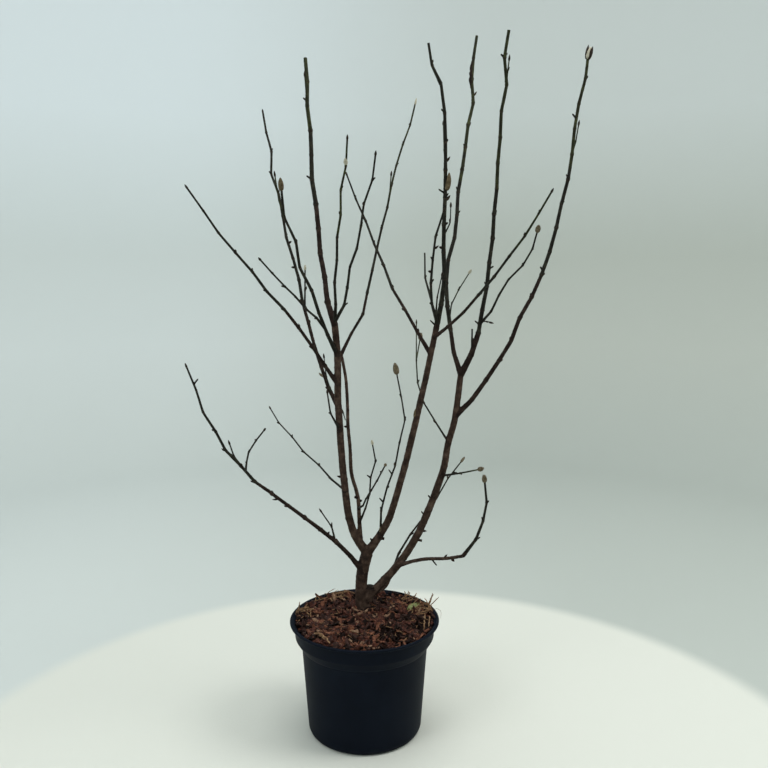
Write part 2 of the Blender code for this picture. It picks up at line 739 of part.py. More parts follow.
def level_cut(trunk):
    """Cuts the trunk's foot flat, a gap over the mulch."""
    block = 4 * FLAT_SPOT
    place = (TRUNK_FOOT.x, TRUNK_FOOT.y, TRUNK_FOOT.z - block / 2)
    bpy.ops.mesh.primitive_cube_add(size=block, location=place)
    combine(trunk, [bpy.context.object], "DIFFERENCE")


def make_node(name, rods, cutters, home, helpers):
    made = rod_object(name, rods[0], home, helpers)
    others = [rod_object(f"{name}_{index}", rod, home, helpers) for index, rod in enumerate(rods[1:])]
    combine(made, others, "UNION")
    blades = []
    for index, rod in enumerate(cutters):
        blades.append(rod_object(f"{name}_cut_{index}", swollen(rod), home, helpers))
    combine(made, blades, "DIFFERENCE")
    return made


def main():
    clear_scene()
    home = new_collection("star_magnolia")
    helpers = new_collection("outlines")
    helpers.hide_render = True
    root = bpy.data.objects.new("star_magnolia_root", None)
    home.objects.link(root)
    black = material("pot_plastic", (0.012, 0.015, 0.020), 0.45)
    brown = material("mulch", (0.120, 0.050, 0.028), 0.95)
    bark = material("bark", (0.060, 0.042, 0.030), 0.80)
    shoot = material("shoot_bark", (0.045, 0.040, 0.022), 0.75)

    finish(make_pot(home), (0.0, 0.0, 0.0), black, root)
    mulch, chips = make_mulch(home)
    combine(mulch, chips, "UNION")
    finish(mulch, (0.0, 0.0, WALL), brown, root)

    joints, radii, split = grow_limbs()
    nodes, fits, owners = all_rods(joints, radii, split)
    add_side_growth(nodes, owners, joints, radii, split)
    for name, rods in nodes.items():
        made = make_node(name, rods, fits[name], home, helpers)
        if name == "trunk":
            level_cut(made)
        finish(made, rods[0].points[0], shoot if name.endswith("_twigs") else bark, root)


main()
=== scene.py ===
"""The looks of a potted star magnolia in winter. Metres, +Z up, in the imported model's frame.

Every limb, kink, spur and side twig is grown by the same seeded rule, from the same sizes,
as the solids that the frame holds. Here the rule is carried on to grown-together forks,
bark, nodes, buds and finer twigs.
"""

import json
import math
import random
from collections import namedtuple

import bpy
import numpy as np
from mathutils import Euler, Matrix, Vector, kdtree, noise

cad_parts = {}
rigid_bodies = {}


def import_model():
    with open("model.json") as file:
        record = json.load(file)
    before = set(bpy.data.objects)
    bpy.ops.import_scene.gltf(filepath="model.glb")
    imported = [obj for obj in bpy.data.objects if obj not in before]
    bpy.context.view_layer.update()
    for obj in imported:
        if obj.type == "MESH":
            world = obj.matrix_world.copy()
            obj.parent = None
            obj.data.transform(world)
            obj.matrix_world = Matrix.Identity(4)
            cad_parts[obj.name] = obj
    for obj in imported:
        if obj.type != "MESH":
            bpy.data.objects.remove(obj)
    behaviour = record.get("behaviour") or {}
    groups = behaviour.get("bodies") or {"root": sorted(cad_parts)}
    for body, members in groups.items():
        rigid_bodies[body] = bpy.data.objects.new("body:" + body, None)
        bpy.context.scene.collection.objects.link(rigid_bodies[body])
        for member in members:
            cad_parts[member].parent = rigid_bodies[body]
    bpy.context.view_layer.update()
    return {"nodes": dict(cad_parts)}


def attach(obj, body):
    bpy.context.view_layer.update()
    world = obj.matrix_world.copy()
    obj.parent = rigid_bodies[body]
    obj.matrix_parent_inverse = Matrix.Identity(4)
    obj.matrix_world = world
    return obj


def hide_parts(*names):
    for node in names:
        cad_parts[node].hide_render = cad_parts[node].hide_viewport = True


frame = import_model()

# Air between solids that stand on each other, and millimetres in a metre
GAP = 0.0003
MILLI = 1000

# Camera, at the photograph's viewing angle
CAMERA_PLACE = (0.030, -1.25, 0.738)
CAMERA_PITCH = 8.78
CAMERA_LENS = 40.0

# Pot
POT_HEIGHT = 0.180
RIM_RADIUS = 0.115
COLLAR_TOP_RADIUS = 0.1085
COLLAR_BEND_RADIUS = 0.1070
COLLAR_FOOT_RADIUS = 0.0990
BODY_TOP_RADIUS = 0.0970
BODY_FOOT_RADIUS = 0.088
LIP_HEIGHT = 0.004
BEND_HEIGHT = 0.026
COLLAR_HEIGHT = 0.039
WALL = 0.002
FOOT_ROUNDING = 0.008
POT_STEPS = 168
# The level inside where the pot's visible wall ends, under the mulch
POT_FLOOR = 0.150
# The radius of the pot's corners, the hole at the middle of its turned skin, and its hollow underside
POT_CORNER = 0.0016
POT_HUB = 0.002
POT_DISH = 0.003

# Bark mulch
SOIL_TOP = 0.1735
SOIL_LUMP = 0.0030
LUMPS_PER_METRE = 45
FLAT_SPOT = 0.030
BED_EDGE = 0.1062
CHIP_EDGE = 0.1098
# The radius past which chips are heaped against the lip, and how steeply
RIM_PILE = 0.1020
RIM_RISE = 0.80
BED_RINGS = 76
BED_STEPS = 220
BED_SKIRT = 0.012
# How near the trunk's middle chips and straws may lie
TRUNK_ROOM = 0.0145

# Bare dark peat between the chips: place and radius
PEAT_PATCHES = [(0.034, -0.056, 0.026), (0.085, -0.024, 0.017), (-0.098, -0.008, 0.016)]

# Chips of bark: shape, count, length, width as a share of length, and thickness
CHIP_KINDS = [
    ("shred", 520, (0.012, 0.024), (0.20, 0.42), 0.0027),
    ("shred", 640, (0.008, 0.015), (0.24, 0.50), 0.0020),
    ("flake", 760, (0.009, 0.017), (0.45, 0.80), 0.0028),
    ("flake", 560, (0.003, 0.007), (0.40, 0.80), 0.0016),
]
CHIP_SHARES = {"red_chip": 0.36, "brown_chip": 0.27, "dark_chip": 0.21, "orange_chip": 0.12, "tan_chip": 0.04}
Chip = namedtuple("Chip", "x y yaw long wide paint")
PLACED_CHIPS = [
    Chip(-0.003, 0.020, 43, 0.024, 0.0050, "tan_chip"),
    Chip(0.008, -0.052, -20, 0.017, 0.0090, "orange_chip"),
    Chip(0.015, -0.070, 25, 0.016, 0.0080, "orange_chip"),
    Chip(-0.020, -0.030, 15, 0.019, 0.0080, "red_chip"),
    Chip(-0.052, -0.055, -30, 0.021, 0.0075, "orange_chip"),
    Chip(-0.078, 0.028, 60, 0.018, 0.0060, "orange_chip"),
    Chip(0.050, 0.005, 80, 0.016, 0.0070, "red_chip"),
    Chip(0.064, -0.052, 35, 0.019, 0.0055, "orange_chip"),
]

PLACED_CHIP_THICK = 0.0024
PLACED_CHIP_LIFT = 0.0042
CHIP_TILTS = (0.42, 0.75)
PEAT_SHARE = 0.85
# The crumbs of the bed: seed height, crumbs per metre and how high they stand
CRUMBS = [(3.0, 260, 0.0011), (7.0, 700, 0.0005)]

# A flake's corners, curl, reach, shrunk top, thickness and peak, and a shred's shape
FLAKE_CORNERS = (6, 8)
FLAKE_CURL = 0.25
FLAKE_REACH = (0.72, 1.1)
FLAKE_TOP = (0.82, 0.98)
FLAKE_THICK = (0.6, 1.2)
FLAKE_PEAK = (0.7, 1.5)
SHRED_STATIONS = 7
SHRED_BOW = 0.35
SHRED_CURL = (-0.30, 0.45)
SHRED_TWIST = 1.3
SHRED_NARROWS = (0.62, 2.5)
SHRED_WIDE = (0.72, 1.2)
SHRED_THICK = (0.6, 1.25)
SHRED_FRAY = 0.03

# Loose straws: how many, their half length, radius and height over the mulch
LOOSE_STRAWS = 70
LOOSE_LONG = (0.005, 0.014)
LOOSE_THICK = (0.0003, 0.0006)
LOOSE_HEIGHT = (0.0035, 0.0025)
LOOSE_EDGE = 0.022

# Where straws lie thick: place, radius and how many
STRAW_PATCHES = [
    (0.088, 0.034, 0.020, 26), (0.074, 0.074, 0.014, 10),
    (-0.094, 0.020, 0.014, 12), (-0.050, 0.078, 0.018, 12),
]
PATCH_LONG = (0.006, 0.013)
PATCH_THICK = (0.0005, 0.0010)
PATCH_RISE = 0.009
PATCH_HEIGHT = (0.0045, 0.003)

# A straw's points, rounds of smoothing, wobble, and its width from end to end
STRAW_POINTS = 16
STRAW_SMOOTHING = 6
STRAW_SIDES = 6
STRAW_WOBBLE = 0.35
STRAW_SHAPE = ([0.0, 0.15, 0.8, 1.0], [0.7, 1.0, 0.8, 0.35])

# Straws and roots with a place of their own, in millimetres: points over the mulch's level, and radius
STRAWS = [
    ([(-82, 64, 5), (-49, 84, 8), (-30, 94, 12), (-16, 88, 7)], 1.1),
    ([(-83, 60, 3), (-80, 72, 12), (-72, 66, 6)], 0.9),
    ([(-56, 76, 4), (-36, 80, 9), (-20, 74, 4)], 0.9),
    ([(-104, 20, 3), (-103.5, 22, 13), (-102.5, 24, 21)], 1),
    ([(-104, 20, 3), (-105.5, 12, 10)], 0.8),
    ([(-100, 30, 4), (-92, 45, 8)], 0.9),
    ([(-103, -14, 4), (-96, -4, 8), (-94, 12, 4)], 0.6),
    ([(68, 85, 2), (64, 92, 11)], 0.9),
    ([(73, 80, 2), (70, 92, 12)], 0.8),
    ([(78, 78, 2), (84, 86, 10)], 1),
    ([(57, 54, 3), (77, 66, 9), (99, 54, 5)], 0.6),
    ([(101, 44, 3), (104.5, 47, 14), (108, 50, 24)], 1.2),
    ([(101, 42, 3), (110, 45, 13), (118, 45, 20)], 0.9),
    ([(103, 40, 4), (99, 52, 10), (95.5, 60, 12)], 0.8),
    ([(100, 50, 3), (105, 52, 16), (110, 55, 21)], 0.8),
    ([(94, 10, 6), (92, -15, 8), (90, -42, 5)], 1.1),
    ([(101, 2, 7), (97.5, -33, 6)], 1),
    ([(77.5, 11, 5), (94, 14, 7)], 1.3),
    ([(83, -4, 5), (98, -12, 8)], 0.8),
    ([(104, 22, 6), (112, 20, 13), (120.5, 12, 11), (116.5, -8, 7)], 0.25),
    ([(-74, -58, 6), (-60, -70, 12), (-48, -91, 8)], 1.6),
    ([(-66, -62, 8), (-56, -82, 9)], 1.2),
    ([(49, -91, 5), (64, -75, 8)], 1),
]

# The green leaf: middle, length, width, fold, and turns about z, y and x in degrees
LEAF_PLACE = (0.077, 0.036, SOIL_TOP + 0.0085)
LEAF_LONG = 0.027
LEAF_WIDE = 0.0120
LEAF_FOLD = 0.0014
LEAF_THICK = 0.0003
LEAF_ROWS = 13
LEAF_COLUMNS = 5
# Its width at the ends, where it is widest and how full it is, its waves and its droop
LEAF_OUTLINE = (0.03, 0.85, 1.25)
LEAF_WAVE = (0.0007, 9)
LEAF_DROOP = 0.05
LEAF_TURNS = (38, -8, 22)

# Light and studio
KEY_POWER = 25.0
OVERHEAD_POWER = 31.0
FILL_POWER = 15.0
SKY_STRENGTH = 0.52
STUDIO_FLOOR = (0.672, 0.688, 0.628)
# The whiter round of floor: middle, radius and width of its soft edge
FLOOR_DISC = (0.03, -0.13, 0.67, 0.05)
# Tones of the studio at its left and right end: the wall, its top and its foot. These tones are painted
# light: a soft painted falloff, lighter at the left and the top, darker at the right and the foot
WALL_LEFT = (0.662, 0.710, 0.702)
WALL_RIGHT = (0.506, 0.536, 0.493)
TOP_LEFT = (0.750, 0.812, 0.836)
TOP_RIGHT = (0.610, 0.652, 0.640)
FOOT_LEFT = (0.600, 0.645, 0.625)
FOOT_RIGHT = (0.450, 0.488, 0.455)
LIGHT_FALLOFF_ENDS = (-0.9, 0.6)
# The heights between which the wall goes over from its foot and into its top
WALL_HEIGHTS = (0.0, 0.36)
TOP_HEIGHTS = (0.72, 1.30)
# The studio's flat floor radius, the sweep up to its wall, its height and the hole in its middle
STAGE_FLOOR = 1.7
STAGE_SWEEP = 0.8
STAGE_HEIGHT = 3.2
STAGE_HOLE = 0.01
STAGE_STEPS = 128
SWEEP_STEPS = 24

Lamp = namedtuple("Lamp", "name place aim size power colour")
LAMPS = [
    Lamp("key", (1.6, -0.3, 2.2), (0.0, 0.0, 0.3), 1.2, KEY_POWER, (1.0, 0.99, 0.97)),
    Lamp("overhead", (0.10, 0.10, 3.0), (0.0, 0.0, 0.0), 2.2, OVERHEAD_POWER, (1.0, 0.99, 0.97)),
    Lamp("fill", (-1.5, -1.4, 2.1), (0.0, 0.0, 0.5), 1.2, FILL_POWER, (0.96, 0.98, 1.0)),
]
SKY_COLOUR = (0.88, 0.93, 0.95, 1.0)

# Trunk: a short leg with a root flare, standing behind the middle of the pot
TRUNK_FOOT = Vector((-0.003, 0.045, SOIL_TOP + GAP))
TRUNK_TOP = (0.0035, 0.045, 0.267)
TRUNK_LEANS = (-14, 18)
TRUNK_GIRTH = 0.019
FLARE = 0.42
FLARE_HEIGHT = 0.008
TRUNK_JOINT = 0.0085

# Stub of a stem that was sawn off, in the crotch beside the trunk
STUB_FOOT = (0.0045, 0.045, 0.188)
STUB_TOP = (0.0095, 0.045, 0.2112)
STUB_GIRTH = 0.0145

# Growth rule
INTERNODE = 0.036
KINK = 0.0018
KINK_GIRTH = 0.005
COLLAR = 0.32
COLLAR_GIRTHS = 2.2
BEND_SPAN = 0.055
SPUR_SHARE = 0.62
SPUR_LENGTH = (0.004, 0.008)
SPUR_LEANS = (24, 42)
SPUR_DIAMETER = 0.0026
TWIG_SHARE = 0.09
TWIG_LENGTH = (0.045, 0.085)
TWIG_DIAMETER = 0.0022
TWIG_ROOM = 0.0025
MASS_ROOM = 0.085
SMOOTH_STEPS = 48

# Buds, as length and thickness
LEAF_BUD = (0.008, 0.0032)
PALE_BUD = (0.012, 0.0055)
FLOWER_BUD = (0.018, 0.0075)
CUT = None

Limb = namedtuple("Limb", "name parent at tip leaves arrives hold girth bough bud")

# name, parent, share of the parent's length where it springs, tip, lean from upright on
# leaving and at the tip in degrees (to the right is positive), how long it holds those
# leans, diameters at base and end, share of its length that is a plain bough before its
# mass of twigs begins, and its bud
LIMBS = [
    Limb("left_stem", "trunk", 1.0, (-0.044, 0.03, 0.63), -62, -10, 0.5, (0.0116, 0.0104), 1.0, CUT),
    Limb("middle_stem", "trunk", 1.0, (0.105, -0.02, 0.627), 48, 15, 0.5, (0.0115, 0.0085), 1.0, CUT),
    Limb("right_stem", "trunk", 0.13, (0.149, 0.06, 0.55), 53, 7, 1.0, (0.013, 0.0095), 1.0, CUT),
    Limb("second_stem", "left_stem", 0.05, (-0.037, 0.08, 0.58), -5, -7, 1.0, (0.0066, 0.0048), 1.0, CUT),
    Limb("low_left", "trunk", 0.67, (-0.24, -0.1, 0.59), -35, -11, 1.5, (0.0074, 0.0026), 0.52, LEAF_BUD),
    Limb("low_right", "right_stem", 0.2, (0.146, -0.05, 0.297), 41, 59, 1.0, (0.0058, 0.005), 1.0, CUT),
    Limb("tall_left", "left_stem", 1.0, (-0.089, 0.1, 1.028), -24, -4, 0.5, (0.008, 0.0055), 0.45, CUT),
    Limb("back_left", "left_stem", 0.657, (-0.168, 0.19, 0.968), -37, -13, 0.5,
         (0.006, 0.0032), 0.36, LEAF_BUD),
    Limb("outer_left", "left_stem", 0.754, (-0.242, -0.06, 0.83), -31, -31, 1.0,
         (0.0058, 0.0026), 0.45, LEAF_BUD),
    Limb("front_left", "left_stem", 0.875, (-0.112, -0.08, 0.837), -26, -13, 1.0,
         (0.0056, 0.0032), 0.0, FLOWER_BUD),
    Limb("front_left_low", "front_left", 0.18, (-0.126, -0.18, 0.732), -29, -26, 1.0,
         (0.0036, 0.0022), 0.0, LEAF_BUD),
    Limb("inner_left", "left_stem", 1.0, (-0.018, -0.08, 0.893), 1, 8, 1.0, (0.0046, 0.0026), 0.0, LEAF_BUD),
    Limb("inner_front", "inner_left", 0.02, (0.021, -0.17, 0.862), 26, 16, 1.0,
         (0.0044, 0.0024), 0.0, LEAF_BUD),
    Limb("inner_back", "second_stem", 1.0, (0.085, 0.2, 0.987), 31, 23, 1.0,
         (0.0048, 0.0026), 0.28, PALE_BUD),
    Limb("stub_left", "left_stem", 0.56, (-0.056, -0.02, 0.539), -60, -35, 1.0,
         (0.0032, 0.0022), 0.0, LEAF_BUD),
    Limb("low_back", "left_stem", 0.3, (-0.165, 0.18, 0.479), -75, -35, 0.5, (0.0032, 0.002), 0.0, LEAF_BUD),
    Limb("low_front", "low_left", 0.59, (-0.125, -0.16, 0.512), -19, 22, 1.0, (0.003, 0.0021), 0.0, LEAF_BUD),
    Limb("low_outer", "low_left", 0.61, (-0.196, -0.05, 0.471), -51, -38, 1.0,
         (0.0026, 0.002), 0.0, LEAF_BUD),
    Limb("low_inner", "low_left", 0.16, (-0.069, 0.02, 0.349), 50, -12, 1.0, (0.0028, 0.002), 0.0, LEAF_BUD),
    Limb("core_left", "second_stem", 0.11, (0.012, -0.03, 0.467), 28, -9, 1.0,
         (0.003, 0.0021), 0.0, LEAF_BUD),
    Limb("core_front", "second_stem", 0.19, (0.033, -0.12, 0.452), 60, 34, 0.5,
         (0.003, 0.0021), 0.0, LEAF_BUD),
    Limb("core_right", "middle_stem", 0.11, (0.044, 0.06, 0.569), 5, -20, 1.5,
         (0.0032, 0.0022), 0.0, FLOWER_BUD),
    Limb("top_middle", "middle_stem", 1.0, (0.107, -0.05, 0.962), 17, -12, 0.5, (0.0068, 0.0042), 0.0, CUT),
    Limb("top_hook", "top_middle", 1.0, (0.089, -0.06, 1.013), -76, -34, 1.0, (0.004, 0.0032), 0.0, CUT),
    Limb("top_front", "top_middle", 0.03, (0.107, -0.15, 0.794), -25, 15, 1.0,
         (0.0042, 0.0026), 0.0, LEAF_BUD),
    Limb("top_short", "top_front", 0.23, (0.088, -0.02, 0.737), -60, 8, 1.0, (0.0028, 0.0022), 0.0, CUT),
    Limb("cross_left", "middle_stem", 0.9, (-0.029, 0.08, 0.86), -32, -23, 1.5,
         (0.0054, 0.0024), 0.4, LEAF_BUD),
    Limb("cross_right", "middle_stem", 0.97, (0.233, -0.2, 0.814), 56, 3, 0.5,
         (0.0048, 0.0024), 0.42, LEAF_BUD),
    Limb("tall_right", "right_stem", 1.0, (0.204, 0.0, 1.044), 39, 7, 0.5, (0.0084, 0.0052), 0.15, CUT),
    Limb("back_right", "right_stem", 1.0, (0.178, 0.18, 1.079), -19, 0, 1.0, (0.0068, 0.0046), 0.14, CUT),
    Limb("outer_right", "right_stem", 0.84, (0.331, 0.06, 1.039), 45, 6, 1.0,
         (0.0072, 0.0042), 0.42, PALE_BUD),
    Limb("front_right", "tall_right", 0.17, (0.234, -0.09, 0.774), 11, -23, 1.0,
         (0.0036, 0.0024), 0.0, PALE_BUD),
    Limb("thin_right", "back_right", 0.16, (0.158, 0.02, 0.714), -28, 15, 1.5,
         (0.0022, 0.0017), 0.0, LEAF_BUD),
    Limb("behind_right", "right_stem", 0.735, (0.091, 0.13, 0.61), -34, 14, 1.5,
         (0.0028, 0.002), 0.0, PALE_BUD),
    Limb("sucker", "right_stem", 0.05, (0.041, 0.068, 0.22), 95, -30, 1.5, (0.0046, 0.004), 1.0, CUT),
    Limb("sucker_end", "sucker", 1.0, (0.166, 0.16, 0.397), 17, 31, 1.0, (0.0038, 0.0021), 0.0, PALE_BUD),
    Limb("side_right", "right_stem", 0.6, (0.178, -0.02, 0.422), 54, 53, 1.0, (0.003, 0.0022), 0.0, PALE_BUD),
    Limb("low_right_end", "low_right", 1.0, (0.17, -0.1, 0.434), 34, 0, 1.5, (0.0048, 0.003), 0.0, PALE_BUD),
]

# Bends that a limb has beside its kinks: share of its length, and metres to the right
BENDS = {
    "left_stem": [(0.3, 0.001), (0.4, 0.001), (0.7, -0.002)],
    "middle_stem": [
        (0.09, -0.001), (0.18, 0.003), (0.27, 0.002), (0.36, 0.002), (0.45, 0.002),
        (0.55, 0.002), (0.64, 0.002), (0.73, 0.002), (0.82, 0.002), (0.91, 0.0015),
    ],
    "right_stem": [
        (0.09, -0.002), (0.36, 0.0015), (0.45, -0.0003), (0.55, 0.0015),
        (0.64, 0.0015), (0.73, -0.001), (0.82, 0.0015), (0.91, 0.0015),
    ],
    "second_stem": [
        (0.12, 0.003), (0.25, 0.002), (0.38, -0.0045),
        (0.5, -0.0035), (0.62, -0.002), (0.88, 0.0045),
    ],
    "low_left": [
        (0.08, 0.003), (0.33, -0.0055), (0.42, -0.0045),
        (0.5, -0.006), (0.75, 0.003), (0.92, 0.0015),
    ],
    "low_right": [(0.25, 0.0018), (0.5, -0.0018), (0.75, 0.0025)],
    "low_front": [(0.25, 0.007)],
    "tall_left": [(0.45, 0.0022), (0.55, -0.0035), (0.64, 0.0015)],
    "back_left": [(0.43, 0.0025), (0.5, 0.0015), (0.57, -0.0025), (0.79, -0.0055), (0.86, 0.002)],
    "outer_left": [(0.2, 0.002), (0.3, 0.003), (0.4, 0.0035), (0.6, 0.002), (0.8, -0.0015)],
    "front_left": [(0.29, 0.003), (0.43, 0.002), (0.57, -0.0035), (0.86, -0.005)],
    "front_left_low": [(0.67, 0.002)],
    "inner_front": [(0.12, 0.004), (0.38, -0.004), (0.75, -0.002), (0.88, 0.0035)],
    "inner_back": [
        (0.17, 0.003), (0.33, -0.004), (0.42, -0.0035),
        (0.5, -0.0045), (0.67, -0.003), (0.92, 0.005),
    ],
    "stub_left": [(0.5, -0.0025)],
    "core_left": [(0.4, -0.004), (0.6, -0.004)],
    "core_front": [(0.33, -0.0055), (0.67, -0.002), (0.83, 0.0025)],
    "core_right": [(0.14, -0.0045), (0.29, -0.002), (0.57, -0.003), (0.86, -0.002)],
    "top_middle": [(0.22, 0.0025), (0.33, -0.0025), (0.44, -0.002), (0.56, -0.002), (0.89, 0.0015)],
    "top_front": [(0.2, -0.002), (0.4, 0.0023)],
    "top_short": [(0.5, 0.003)],
    "cross_left": [(0.12, 0.002), (0.62, 0.0022)],
    "cross_right": [(0.25, -0.0025), (0.5, -0.0025), (0.75, -0.002)],
    "tall_right": [(0.86, 0.0045), (0.93, -0.001)],
    "back_right": [
        (0.27, -0.004), (0.4, 0.0048), (0.47, 0.007), (0.6, 0.0025),
        (0.8, 0.0015), (0.87, -0.004), (0.93, -0.006),
    ],
    "outer_right": [(0.19, -0.002), (0.31, -0.0065), (0.5, 0.0028), (0.81, -0.005), (0.88, -0.0025)],
    "front_right": [(0.17, 0.005), (0.33, 0.002), (0.5, -0.0055), (0.83, -0.0025)],
    "thin_right": [(0.33, 0.006), (0.67, 0.0025)],
    "sucker_end": [(0.5, 0.004), (0.83, -0.002)],
    "low_right_end": [(0.25, -0.0013), (0.5, 0.0015), (0.75, 0.0015)],
}

# Bark and forks
WOOD_VOXEL = 0.00112
WOOD_STEP = 0.0015
WOOD_SIDES = 22
WOOD_EASE = 0.011
WOOD_DEPTH = 0.055
SHOOT_STEP = 0.0015
SHOOT_EASE = 0.0035
SHOOT_DEPTH = 0.05
FORK_FILL = 12
FORK_GIRTHS = 1.3
# The length of wood's skin at the foot of a shoot that springs from wood
SNAG = 0.013
# Where wood goes over into a shoot: the length, and how much each is drawn in at its end
BLEND = 0.006
SHOOT_SINK = 0.86
WOOD_SINK = 0.82
TRUNK_BURIED = 0.005
NODE_SWELL = (0.06, 0.26)
NODE_REACH = 0.0026
SMOOTH_ROUNDS = 4
SMOOTH_PULLS = (0.5, 0.52)
FORK_PUSH = 0.9
FORK_PLAIN = 0.75
CRUMPLES_PER_METRE = 330
CRUMPLE = 0.00022
RING_STRENGTHS = (0.25, 1.0)
TRUNK_RINGS = 70
STUB_RINGS = 24

# The bark's ridges, grain and wrinkles: share of its depth, length of a cell, cells round the limb
RIDGES = (0.8, 0.018, 9)
GRAIN = (0.6, 0.006, 14)
WRINKLES = (0.35, 0.0021, 1)
# Warts: one to this length, how far they are worked out, half length, half turn and height
WART_SPACING = 0.006
WART_REACH = 0.003
WART_LENGTH = 0.0011
WART_TURN = 0.42
WART_HEIGHT = 2.0
# A node's raised ring, and the groove below it
RING_WIDTH = 0.0008
GROOVE = (0.6, 0.0024, 0.0009)
# A leaf scar's place below its node, and half its width on shoots and on boughs
SCAR_DROP = 0.0012
SCAR_WIDTHS = (0.0009, 0.0010)

# Limbs that get the olive shoot paint on the upper half of each shoot and on their side twigs: partly their
# own olive bark, partly painted light for their lit sides
OLIVE_AND_LIT_LIMBS = (
    "back_right", "tall_right", "tall_left", "behind_right", "thin_right",
    "side_right", "outer_right", "inner_back", "cross_right", "inner_left",
)

# A mark's turn is in degrees about an upright limb: 0 is left, 90 front, 180 right
Mark = namedtuple("Mark", "limb share turn kind length width")

# How far each kind of mark stands away from its limb, from 0 along it to 1 square to it
MARK_LEANS = {"nub": 0.62, "bud": 0.50, "pale": 0.45, "cut": 0.75, "knob": 0.80, "husk": 0.30, "cream": 0.45}

# The kinds that are one bud: its shape, its bend along and away from the limb, paint and sides
MARK_BUDS = {
    "knob": ("leaf", 0.1, 0.0, 0, 10),
    "bud": ("leaf", 0.2, 0.0, 0, 12),
    "cream": ("fur", 0.3, 0.0, 2, 14),
    "husk": ("fur", 0.3, 0.2, 3, 14),
    "pale": ("fur", 0.2, 0.0, 1, 14),
}

# What grows where on the wood and shoots, beside what the rule grows: for each limb, share of its
# length, turn, kind, and length and width in millimetres
MARK_GROUPS = [
    ("second_stem", [(0.245, 15, "cut", 4.6, 4.6), (0.225, 190, "knob", 4.8, 5),
        (0.62, 15, "knob", 5.5, 3.6)]),
    ("left_stem", [(0.36, 8, "knob", 8.5, 4.2)]),
    ("middle_stem", [(0.06, 20, "nub", 10, 3.6), (0.09, 190, "cut", 6.8, 5.2), (0.12, 40, "pale", 9.5, 4.2),
        (0.635, 20, "husk", 13, 5.8)]),
    ("right_stem", [(0.33, 175, "cut", 8.5, 4), (0.37, 170, "knob", 8.5, 3.6), (0.5, 10, "nub", 8.5, 2.8),
        (0.43, 12, "nub", 9.5, 2.6)]),
    ("low_right", [(0.83, 175, "knob", 5.8, 5), (0.73, 10, "bud", 9.5, 3), (0.57, 175, "nub", 12.5, 2.4)]),
    ("low_left", [(0.43, 15, "bud", 8.5, 2.8), (0.2, 180, "knob", 5, 3.6)]),
    ("core_left", [(0.6, 15, "nub", 7.5, 2.4)]),
    ("core_right", [(0.2, 8, "nub", 8.5, 2.6), (0.38, 15, "nub", 9, 2.4)]),
    ("back_left", [(0.11, 5, "pale", 8.5, 4)]),
    ("top_middle", [(0.585, 175, "husk", 20, 8.5), (0.02, 5, "nub", 11, 2.6), (0.545, 185, "bud", 8.5, 4.4),
        (0.575, 5, "nub", 10, 2.8), (0.7, 178, "bud", 7.5, 3.4), (0.45, 170, "knob", 5, 4),
        (0.35, 5, "knob", 5.5, 4.4)]),
    ("top_front", [(0.5, 5, "knob", 4.8, 3.4), (0.7, 175, "bud", 7, 3.2)]),
    ("tall_right", [(0.17, 8, "nub", 8.5, 3), (0.34, 175, "nub", 6.5, 3), (0.89, 180, "bud", 7, 3.2),
        (0.93, 0, "nub", 5.5, 3.2)]),
    ("back_right", [(0.82, 180, "bud", 8, 3)]),
    ("outer_right", [(0.84, 15, "nub", 8, 3), (0.45, 5, "nub", 6, 3.4)]),
    ("inner_left", [(0.885, 80, "cream", 9, 5.6)]),
    ("tall_left", [(0.55, 8, "nub", 7.8, 3.2), (0.84, 5, "nub", 6, 3)]),
    ("back_left", [(0.47, 10, "knob", 6, 3.8), (0.55, 185, "knob", 5.5, 3.6)]),
    ("low_left", [(0.945, 185, "nub", 9, 2.6)]),
    ("sucker_end", [(0.9, 185, "nub", 8, 2.8)]),
]
MARKS = [
    Mark(limb, share, turn, kind, length / MILLI, width / MILLI)
    for limb, rows in MARK_GROUPS for share, turn, kind, length, width in rows
]

# Finer twigs, grown by the same rule as the limbs, beside those that the solids have
FINE_TWIGS = [
    Limb("top_side", "top_middle", 0.40, (0.127, -0.020, 0.808), 52, 30, 1.0,
         (0.0021, 0.0014), 0.0, LEAF_BUD),
    Limb("top_between", "top_front", 0.06, (0.1125, -0.062, 0.712), -12, 22, 0.8,
         (0.0024, 0.0016), 0.0, LEAF_BUD),
    Limb("upright_stub", "tall_right", 0.08, (0.1640, 0.045, 0.6226), -14, 3, 0.8,
         (0.0028, 0.0024), 0.0, CUT),
    Limb("right_fork", "front_right", 0.03, (0.1964, 0.040, 0.6352), 62, 10, 0.9,
         (0.0020, 0.0014), 0.0, LEAF_BUD),
    Limb("left_rise", "back_left", 0.33, (-0.0930, 0.090, 0.7190), 12, 0, 0.8,
         (0.0028, 0.0022), 0.0, LEAF_BUD),
    Limb("left_link", "left_stem", 0.68, (-0.0300, 0.052, 0.4800), 150, 165, 0.8,
         (0.0020, 0.0014), 0.0, CUT),
    Limb("left_side", "back_left", 0.05, (-0.064, 0.050, 0.585), -30, -20, 0.8,
         (0.0022, 0.0016), 0.0, LEAF_BUD),
]
FINE_NAMES = [limb.name for limb in FINE_TWIGS]

# Buds that differ from others of their size: the paint they have instead
BUD_PAINTS = {
    "front_left": 3, "core_left": 2, "core_front": 1,
    "left_rise": 2, "thin_right": 2, "inner_back": 2,
}
SLIM_BUDS = {"front_left": 0.78, "inner_back": 0.5, "sucker_end": 0.62}

# The bud that has burst its scales at the tip of one limb: how far down it starts, and its size
BURST_LIMB = "outer_right"
BURST_START = 0.0095
BURST_LEAN = (0.14, 0.0, 0.0)
BURST_BUD = (0.0205, 0.0098)

# Spurs here are finer than in the solids, and one shoot is slimmer
SPUR_TRIM = 0.74
SLIM_LIMBS = {"tall_right": 0.82}

# A healed canker on one tall shoot: limb, shares of its length, turn and radius
CANKER = ("back_right", 0.84, 0.925, 5, 0.0030)

Rod = namedtuple("Rod", "points radii sides")
Skin = namedtuple("Skin", "distance line girth relief marks")


# Growth: lines, joints and radii


